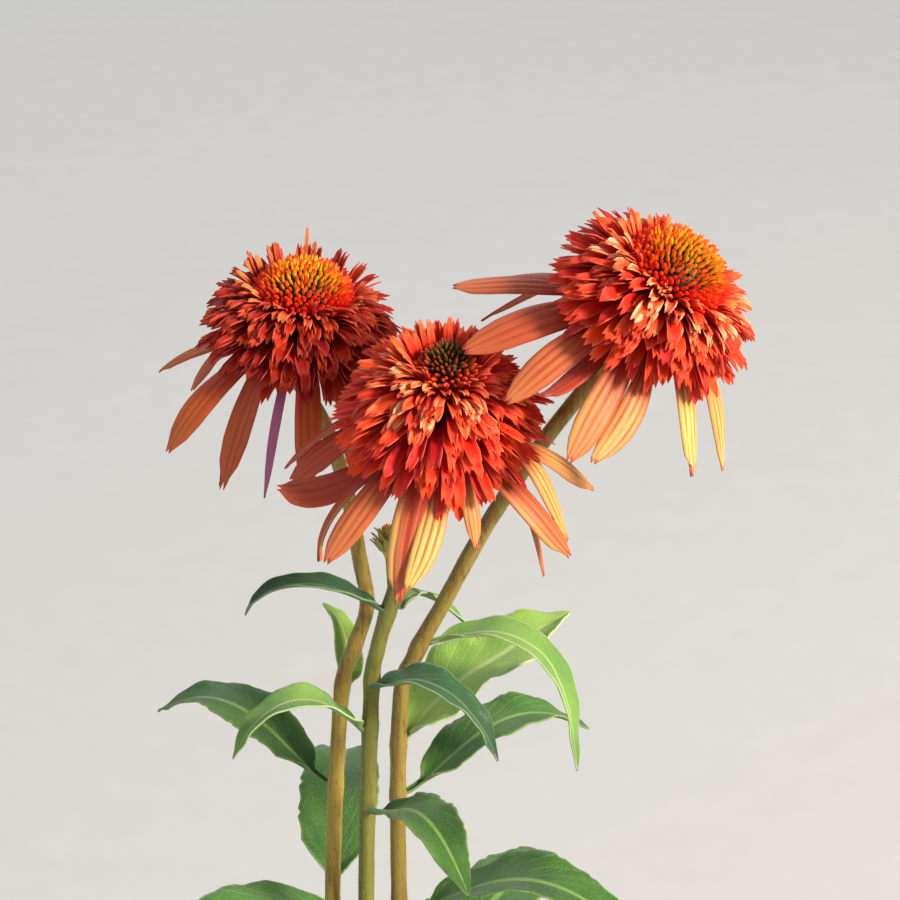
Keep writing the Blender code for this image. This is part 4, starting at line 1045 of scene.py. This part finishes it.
# Leaves. Seen ones: width, fold, finish, teeth on each edge, waviness, and points along the midrib
seenLeaves = {
    "leaf_left_dark": (9.5, 0.35, "leafDark", 0, 0.3, [
        (2.0, -11.2, 368.6), (-4.8, -13, 374), (-15, -15, 378.6),
        (-25.2, -17, 379), (-32.3, -18, 375.5), (-35.4, -18, 370.5),
    ]),
    "leaf_right_long": (13.0, 0.25, "leafPale", 0, 0.5, [
        (17.4, 5.2, 348.8), (26.8, 4, 352.4), (36.5, 1, 354.6), (45.1, -2, 352.4),
        (51.5, -4, 346.5), (57, -6, 332), (59.5, -7.5, 313),
    ]),
    "leaf_right_broad": (30.0, 0.22, "leafBright", 5, 1.3, [
        (9.3, 9.0, 314), (16, 12, 323), (26, 16, 331), (37, 20, 336.5), (48, 27, 341), (58, 33, 344),
    ]),
    "leaf_front_dark": (13.0, 0.3, "leafDark", 0, 0.6, [
        (0.6, -8.6, 341.8), (2.6, -10.9, 343.6), (8, -13, 346.5), (15, -15, 347.5),
        (24, -17.5, 343.5), (32, -20, 334), (36, -21.5, 325),
    ]),
    "leaf_behind_thin": (7.0, 0.3, "leafPale", 0, 0.2, [
        (8.6, -8.0, 367.6), (11.5, 5, 365), (18, 14.5, 358), (25.5, 16.5, 350.5), (31, 20, 342),
    ]),
    "leaf_back_small": (8.5, 0.25, "leafBright", 0, 0.3, [
        (-9.2, 29.2, 320.6), (-8.2, 31.8, 322.6), (-8.6, 34, 328), (-9.8, 37, 334),
        (-12.4, 40, 339), (-16.5, 44, 341),
    ]),
    "leaf_left_low": (13.0, 0.25, "leafPale", 0, 0.5, [
        (-3.9, -7.4, 327), (-8.5, -11, 334), (-16, -14, 340.5), (-25, -17, 341.5),
        (-34, -20, 336), (-40, -22, 326),
    ]),
}
stemLeaves = [  # stem, height, compass angle, length, width
    ("c", 296, 25, 68, 19), ("b", 300, -62, 66, 18), ("a", 288, 150, 70, 20),
    ("b", 262, -140, 82, 24), ("c", 256, -25, 84, 24), ("a", 246, 88, 84, 25),
    ("b", 222, -88, 94, 28), ("a", 205, 172, 98, 29), ("c", 212, 50, 96, 29),
    ("c", 176, -38, 104, 31),
]
crownLeaves = [  # compass angle, distance of the foot from the middle, length, width, rise
    (-158, 26, 138, 36, 62), (-112, 27, 128, 33, 48), (-62, 27, 136, 36, 66),
    (-12, 26, 130, 34, 52), (32, 26, 140, 37, 70), (78, 28, 132, 35, 50),
    (122, 29, 138, 36, 64),
]
leafShape = {
    "across": 12, "along": 56, "thick": 0.5, "stalkHalf": 1.25, "groove": 0.34, "quilt": 0.17,
    "rooted": 1.4, "seenStalk": 0.06, "stemStalk": 0.12, "crownStalk": 0.36, "points": 80,
}


def leafStations(spine, width, fold, stalk, steps):
    points = alongPath(spine, [k / steps for k in range(steps + 1)])
    side = (spine[-1] - spine[0]).cross(upward).normalized()
    stations = []
    for k, (centre, forward) in enumerate(zip(points, directions(points))):
        level = forward.cross(upward)
        if level.length > 0.25:
            side = level.normalized()
        side = (side - forward * side.dot(forward)).normalized()
        normal = side.cross(forward)
        u = min(max((k / steps - stalk) / (1 - stalk), 0.0), 1.0)
        blade = width / 2 * 2.26 * u ** 0.45 * (1 - u) ** 0.8
        narrow = leafShape["stalkHalf"] * mm * (1 - smoothStep(0.0, 0.5, u))
        half = max((blade ** 3 + narrow ** 3) ** (1 / 3), 0.12 * mm)
        bow = 2 * fold + 1.1 * (1 - smoothStep(0.0, 0.16, u))
        stations.append((centre, forward, normal, half, bow, 0.0))
    return stations


def makeLeaf(node, spine, width, fold, stalk, teeth, wave, sides, finish, seed):
    shape = leafShape
    rng = random.Random(seed)
    phase, other = rng.uniform(0, math.tau), rng.uniform(0, math.tau)
    stations = leafStations(spine, width * mm, fold, stalk, shape["along"])
    sized = min(width / 30, 1.0)

    def relief(x, v):
        u = max((v - stalk) / (1 - stalk), 0.0)
        away = abs(x)
        groove = -shape["groove"] * math.exp(-((x / 0.1) ** 2)) * (0.5 + 0.5 * sized)
        vein = math.sin(34 * (v - 0.34 * away ** 0.7) / 2) ** 2
        quilt = shape["quilt"] * vein * away * (1 - away * 0.5) * 4 * sized
        swing = math.sin(math.tau * 2.6 * v + (phase if x > 0 else other))
        fine = 0.35 * math.sin(math.tau * 6.3 * v + (other if x > 0 else phase))
        opened = smoothStep(0.02, 0.2, u) * (1 - smoothStep(0.9, 1.0, u))
        return (groove + quilt + wave * (swing + fine) * away * away) * opened * mm

    def edge(x, v, half):
        u = (v - stalk) / (1 - stalk)
        away = abs(x)
        if not teeth or away < 0.6 or not 0.12 < u < 0.93:
            return 0.0
        spot = (u * teeth + (0.5 if x > 0 else 0.0)) % 1.0
        rise = spot / 0.75 if spot < 0.75 else (1 - spot) / 0.25
        return math.copysign((rise - 0.5) * 0.14 * half * smoothStep(0.6, 1.0, away), x)

    bm = startMesh()
    faces = addBlade(bm, shape["across"], stations, relief, edge=edge, tone=rng.random())
    thicken(bm, faces, shape["thick"], 1)
    first, *others = node.split("_")
    name = first + "".join(word.capitalize() for word in others)
    finishPiece(name, node, bm, [sides[finish], sides[finish + "Under"]])


def atHeight(path, height):
    for a, b in zip(path, path[1:]):
        if a.z <= height <= b.z:
            return a.lerp(b, (height - a.z) / (b.z - a.z))
    return path[-1].copy()


def makeLeaves(paths, sides):
    shape = leafShape
    for number, (node, (width, fold, finish, teeth, wave, points)) in enumerate(seenLeaves.items()):
        points = [Vector(point) * mm for point in points]
        points[0] = points[0] + (points[0] - points[1]).normalized() * shape["rooted"] * mm
        spine = smoothPath(points, shape["points"])
        makeLeaf(node, spine, width, fold, shape["seenStalk"], teeth, wave, sides, finish, 60 + number)
    for number, (key, height, compass, length, width) in enumerate(stemLeaves):
        outward = spokes(math.radians(compass))[0]
        start = atHeight(paths[key], height * mm)
        spine = cubic([
            start + outward * 1.2 * mm,
            start + outward * (length * 0.16 + 3.3) * mm,
            start + (outward * (length * 0.42 + 3.3) + upward * length * 0.52) * mm,
            start + (outward * (length * 0.9 + 3.3) + upward * length * 0.10) * mm,
        ], shape["points"])
        makeLeaf(
            f"stem_leaf_{number + 1}", spine, width, 0.22, shape["stemStalk"],
            7, 0.9, sides, "leafMiddle", 80 + number,
        )
    for number, (compass, foot, length, width, rise) in enumerate(crownLeaves):
        outward = spokes(math.radians(compass))[0]
        base = outward * foot * mm + upward * (stemShape["soilTop"] - stemShape["sunk"]) * mm
        bend = outward * foot * mm + upward * (stemShape["soilTop"] + 6) * mm
        reach = length - rise * 0.6
        spine = [base] + cubic([
            bend,
            bend + upward * rise * 0.85 * mm,
            bend + (outward * reach * 0.45 + upward * rise * 1.25) * mm,
            bend + (outward * reach + upward * rise * 0.42) * mm,
        ], shape["points"])
        makeLeaf(
            f"crown_leaf_{number + 1}", spine, width, 0.2, shape["crownStalk"],
            9, 1.1, sides, "leafMiddle", 100 + number,
        )
    print("leaves made")


budShape = {
    "stem": [(4.9, -8.4, 365.4), (5.4, -5.6, 366.5), (5.1, 0, 369.5), (4.7, 6, 372), (4.4, 10.5, 373.4)],
    "stemRadius": 0.9, "hairs": 120, "height": 9.5, "radius": 2.7,
    "tiers": [(9, 0.12, 5.0, 1.9, -8), (9, 0.24, 4.6, 1.8, 12), (8, 0.42, 4.0, 1.6, 34)],
    "across": 4, "along": 6, "thick": 0.35, "bow": 0.6, "slope": 62, "droop": -22,
    "halfShares": [(0, 0.9), (0.4, 1.0), (0.8, 0.5), (1, 0.08)],
    "tips": 34,
}


def makeBud(stemFinishes, budFinishes):
    shape = budShape
    rng = random.Random(51)
    route = [Vector(point) * mm for point in shape["stem"]]
    path = smoothPath(route, 25)
    thin = shape["stemRadius"]
    bm = startMesh()
    turns = addTube(bm, path, lambda k, angle: (thin + 0.05 * math.cos(5 * angle)) * mm, 12)

    def addHair(small, _):
        low = rng.randrange(2, len(path) - 1)
        forward, side, other = turns[low]
        angle = rng.uniform(0, math.tau)
        out = side * math.cos(angle) + other * math.sin(angle)
        root = path[low] + out * (thin - 0.05) * mm
        addSpike(small, root, (out + forward * 0.3).normalized(), 0.6 * mm, 0.04 * mm, 0.012 * mm, 3)

    inBatches(bm, shape["hairs"], addHair)
    finishPiece("budStem", "bud_stem", bm, stemFinishes)

    axis = (directions(smoothPath(route, 6))[-1] + upward * 1.6).normalized()
    place = aimed(path[-1] + axis * (0.3 + thin) * mm, axis)
    high, wide = shape["height"], shape["radius"]
    bm = startMesh()
    faces = set()
    for number, (count, level, length, width, lean) in enumerate(shape["tiers"]):
        for k in range(count):
            turn = math.tau * (k + 0.5 * number + rng.uniform(-0.12, 0.12)) / count
            sized = length * rng.uniform(0.85, 1.15) * mm
            start = (wide * 0.8 * mm, high * level * mm)
            slopes = (shape["slope"] + lean, -lean, shape["droop"])
            faces |= addScale(bm, shape, turn, start, slopes, sized, width, rng.random())
    thicken(bm, faces, shape["thick"], 0)
    turnProfile(bm, [
        (0, -1.7), (0.9, -1.5), (wide * 0.5, -0.2), (wide * 0.9, high * 0.16), (wide, high * 0.34),
        (wide * 0.86, high * 0.6), (wide * 0.5, high * 0.78), (0, high * 0.84),
    ], 24)

    def addTip(small, k):
        share = math.sqrt((k + 0.5) / shape["tips"])
        outward = spokes(k * goldenAngle)[0]
        root = outward * wide * 0.75 * share + upward * (high * (0.8 - 0.22 * share * share) - 0.3)
        direction = (upward + outward * 0.5 * share).normalized()
        addSpike(small, root * mm, direction, 1.7 * mm, 0.42 * mm, 0.12 * mm, 5, rng.random(), 1.0)

    inBatches(bm, shape["tips"], addTip)
    bm.transform(place)
    finishPiece("closedBud", "bud", bm, budFinishes)
    print("bud made")


potShape = {
    "height": 130.0, "foot": 62.5, "top": 85.0, "wall": 1.8, "rimHeight": 12.0, "rimOut": 2.5,
    "steps": 96, "drains": 6, "drainRadius": 4.0, "drainRing": 44.0,
    "bands": [18.0, 22.0, 100.0, 104.0], "bandDepth": 0.45,
}


def potRadius(height):
    return potShape["foot"] + (potShape["top"] - potShape["foot"]) * height / potShape["height"]


def arcPoints(middle, radius, first, last, count):
    turns = [math.radians(first + (last - first) * k / (count - 1)) for k in range(count)]
    return [(middle[0] + radius * math.cos(turn), middle[1] + radius * math.sin(turn)) for turn in turns]


def makePot(finish):
    shape = potShape
    band = shape["height"] - shape["rimHeight"]
    top, wall, out, depth = shape["top"], shape["wall"], shape["rimOut"], shape["bandDepth"]
    profile = [(0, 0), (shape["foot"] - 3.2, 0)]
    profile += arcPoints((shape["foot"] - 2.0, 2.2), 2.2, -80, -8, 4)
    for k, height in enumerate(shape["bands"]):
        before, after = (0.0, depth) if k % 2 == 0 else (depth, 0.0)
        profile.append((potRadius(height) - before, height))
        profile.append((potRadius(height + 0.6) - after, height + 0.6))
    profile += [(potRadius(band - 1), band - 1), (potRadius(band) + 0.4, band - 0.2)]
    profile += arcPoints((potRadius(band) + out - 0.8, band + 0.8), 0.8, -85, -5, 4)
    profile += arcPoints((top + out - 1.3, shape["height"] - 1.3), 1.3, 0, 90, 5)
    profile += arcPoints((top - wall + 1.2, shape["height"] - 1.2), 1.2, 90, 180, 4)
    profile += [(potRadius(wall) - wall, wall), (0, wall)]
    bm = startMesh()
    turnProfile(bm, profile, shape["steps"])
    pot = finishPiece("nurseryPot", "pot", bm, [finish], 35)
    drills = bmesh.new()
    for k in range(shape["drains"]):
        spot = spokes(math.tau * k / shape["drains"])[0] * shape["drainRing"] * mm
        bmesh.ops.create_cone(
            drills, cap_ends=True, segments=24, radius1=shape["drainRadius"] * mm,
            radius2=shape["drainRadius"] * mm, depth=8 * mm, matrix=Matrix.Translation(spot),
        )
    mesh = bpy.data.meshes.new("potDrills")
    drills.to_mesh(mesh)
    drills.free()
    cutter = addToScene("potDrills", mesh)
    cut = pot.modifiers.new("drains", "BOOLEAN")
    cut.operation = "DIFFERENCE"
    cut.solver = "EXACT"
    cut.object = cutter
    graph = bpy.context.evaluated_depsgraph_get()
    bored = bpy.data.meshes.new_from_object(pot.evaluated_get(graph))
    pot.modifiers.clear()
    pot.data = bored
    bpy.data.objects.remove(cutter)
    print("pot made")


soilShape = {"top": 118.0, "base": 60.0, "rings": 46, "steps": 120, "rough": 1.2, "bark": 330, "white": 70}


def soilLevel(x, y):  # height of the soil's top, everything in millimetres
    wave = math.sin(x * 0.21 + 1.3) * math.cos(y * 0.17) + 0.5 * math.sin(x * 0.46 - y * 0.39)
    crumbs = noise.fractal(Vector((x * 0.35, y * 0.35, 0.5)), 0.9, 2.1, 5)
    return soilShape["top"] + soilShape["rough"] * (0.7 * wave + 0.9 * crumbs)


def makeSoil(finishes):
    shape = soilShape
    rng = random.Random(5)
    top = shape["top"]
    edge = potRadius(top - 3) - potShape["wall"] - 0.2
    profile = [(0, shape["base"]), (edge - 12, shape["base"]), (edge, top - 4)]
    profile += [(edge * (1 - k / shape["rings"]), top) for k in range(shape["rings"])]
    bm = startMesh()
    turnProfile(bm, [*profile, (0, top)], shape["steps"])
    for vert in bm.verts:
        if vert.co.z > (top - 1) * mm:
            vert.co.z = soilLevel(vert.co.x / mm, vert.co.y / mm) * mm

    def addChip(small, k):
        white = k >= shape["bark"]
        turn, out = rng.uniform(0, math.tau), (edge - 3) * math.sqrt(rng.random())
        x, y = out * math.cos(turn), out * math.sin(turn)
        size = rng.uniform(0.5, 1.1) if white else rng.uniform(0.8, 2.6)
        long = 1.0 if white else rng.uniform(1.2, 2.2)
        place = Matrix.Translation(Vector((x, y, soilLevel(x, y) + size * 0.2)) * mm)
        place = place @ Matrix.Rotation(rng.uniform(0, math.tau), 4, "Z")
        place = place @ Matrix.Rotation(rng.uniform(-0.5, 0.5), 4, "X")
        place = place @ Matrix.Diagonal((size * long * mm, size * 0.8 * mm, size * 0.5 * mm, 1))
        verts = bmesh.ops.create_icosphere(small, subdivisions=1, radius=1.0, matrix=place)["verts"]
        mark(small, verts, rng.random(), 0.0)
        for vert in verts:
            vert.co += Vector([rng.uniform(-0.16, 0.16) * size * mm for _ in range(3)])
        for face in facesOf(verts):
            face.material_index = 2 if white else 1

    inBatches(bm, shape["bark"] + shape["white"], addChip)
    finishPiece("pottingSoil", "soil", bm, finishes, 60)
    print("soil made")


# Colours
petalTones = {  # the ramp from root to tip, darker at the root partly as painted shade, then crimson patches of painted shade, warm patches and cream patches of painted sunlight
    "floretShaded": ([
        (0.0, "480604"), (0.3, "801008"), (0.55, "9a160c"), (0.82, "aa2010"), (1.0, "b8341c"),
    ], "841026", "c03a14", "e8a078"),
    "floretFiery": ([
        (0.0, "7c0a06"), (0.3, "bc140c"), (0.55, "da200f"), (0.82, "ea2e18"), (1.0, "f04826"),
    ], "a81430", "f05018", "fbd0a0"),
}
rayTones = {  # the ramp from root to tip, darker at the root partly as painted shadow under the florets, then the cream stripes of painted sunlight and the veins
    "raySalmon": ([
        (0.0, "700a06"), (0.2, "98180e"), (0.45, "aa2b18"), (0.75, "b44228"), (0.95, "b84e32"),
    ], "e8c46c", "a42a16"),
    "rayCopper": ([
        (0.0, "70120a"), (0.2, "a42a10"), (0.45, "b43e16"), (0.75, "bc521e"), (0.95, "c05a30"),
    ], "d88c40", "9a2a10"),
}
coneTones = {  # the spikes' ramp at the rim, then in the middle
    "coneOpen": (
        [(0.0, "2a0c04"), (0.35, "84280a"), (0.6, "e0500c"), (0.8, "e22a0c"), (1.0, "c4160a")],
        [(0.0, "302c04"), (0.35, "96900a"), (0.6, "f0b010"), (0.82, "f07810"), (1.0, "dc3010")],
    ),
    "coneShut": (
        [(0.0, "1c0803"), (0.4, "5a1c08"), (0.72, "a8320f"), (1.0, "d8481c")],
        [(0.0, "101204"), (0.4, "34380c"), (0.72, "5a4a12"), (1.0, "96301a")],
    ),
}
leafTones = {  # dark, light, vein and edge, then roughness
    "leafDark": ("1f4426", "31603a", "6f9464", "8fae7a", 0.42),
    "leafDarkUnder": ("3f6340", "56794e", "86a476", "9db58a", 0.55),
    "leafMiddle": ("2c5a22", "45792c", "8fb35e", "8fae64", 0.46),
    "leafMiddleUnder": ("53773f", "6c8f50", "93b070", "a2b880", 0.58),
    "leafPale": ("55863a", "79a84c", "b4cf80", "c4d69a", 0.48),
    "leafPaleUnder": ("7c9c5c", "93b26e", "b8cf92", "c4d6a4", 0.58),
    # the leafBright pair copies the yellow-green glow of the broad right leaf lit from behind: partly the
    # leaf's own colour, partly painted light
    "leafBright": ("74a43e", "9cc657", "c9de8c", "d3e4a4", 0.48),
    "leafBrightUnder": ("83a955", "9ec56a", "c4da92", "cfe0a6", 0.58),
}
barkTones = {  # base, streaks and ridges
    "a": ("stemTan", "9a8636", "74502a", "b49c4a"),
    "b": ("stemOlive", "6c7030", "5f4a24", "8a8a3c"),
    "c": ("stemGold", "93803a", "7a5426", "b09a48"),
}


def makeScene():
    makeStage()
    florets = {name: floretFinish(name, *tones) for name, tones in petalTones.items()}
    petalSides = [floretUnderFinish(), plainGrain("headCore", "6c0e08", "8c180c", 500.0, 0.8)]
    rays = {name: rayFinish(name, *tones) for name, tones in rayTones.items()}
    cones = {name: coneFinish(name, *tones) for name, tones in coneTones.items()}
    bractGreen = greenFinish("bractGreen", "4a6424", "74903c", "93a85a", rough=0.6)
    for key, bloom in blooms.items():
        # the left bloom stands in shade: its florets and ray undersides take darker copies of their finishes,
        # which is painted shade, and its rays a more orange finish, partly their own colour, with dimmer
        # cream of painted sunlight
        shaded = key == "a"
        under = rayUnderFinish(f"rayUnder{key.upper()}", "b2503c" if shaded else "c4604c")
        makeRays(key, bloom, [rays["rayCopper" if shaded else "raySalmon"], under])
        makeFlorets(key, bloom, [florets["floretShaded" if shaded else "floretFiery"], *petalSides])
        makeCone(key, bloom, cones["coneShut" if bloom["head"] is youngHead else "coneOpen"])
        makeBracts(key, bloom, [bractGreen])
        print("bloom", key, "made")
    hair = plainGrain("stemHair", "b4b07c", "ccc89a", 300.0, 0.5)
    for key, tones in barkTones.items():
        makeStem(key, [stemFinish(*tones), hair])
    print("stems made")
    leafSides = {name: greenFinish(name, *tones) for name, tones in leafTones.items()}
    makeLeaves({key: stemCentre(key) for key in stems}, leafSides)
    makeBud(
        [stemFinish("stemThin", "75802f", "6a5a28", "98a048"), hair],
        [greenFinish("budGreen", "a8a44a", "ccc266", "d4cc7c", "d0ac5c", 0.6), cones["coneOpen"]],
    )
    makePot(plainGrain("potPlastic", "1b1d1e", "26292a", 350.0, 0.5, 0.05, gloss=0.5))
    makeSoil([
        plainGrain("soilPeat", "2a1a10", "4a3220", 420.0, 0.95, 0.6, gloss=0.15),
        plainGrain("soilBark", "4a2e1a", "7a5434", 300.0, 0.9, 0.4, gloss=0.2),
        plainGrain("soilWhite", "cfcabc", "e6e2d6", 500.0, 0.9, 0.3, gloss=0.2),
    ])


makeScene()
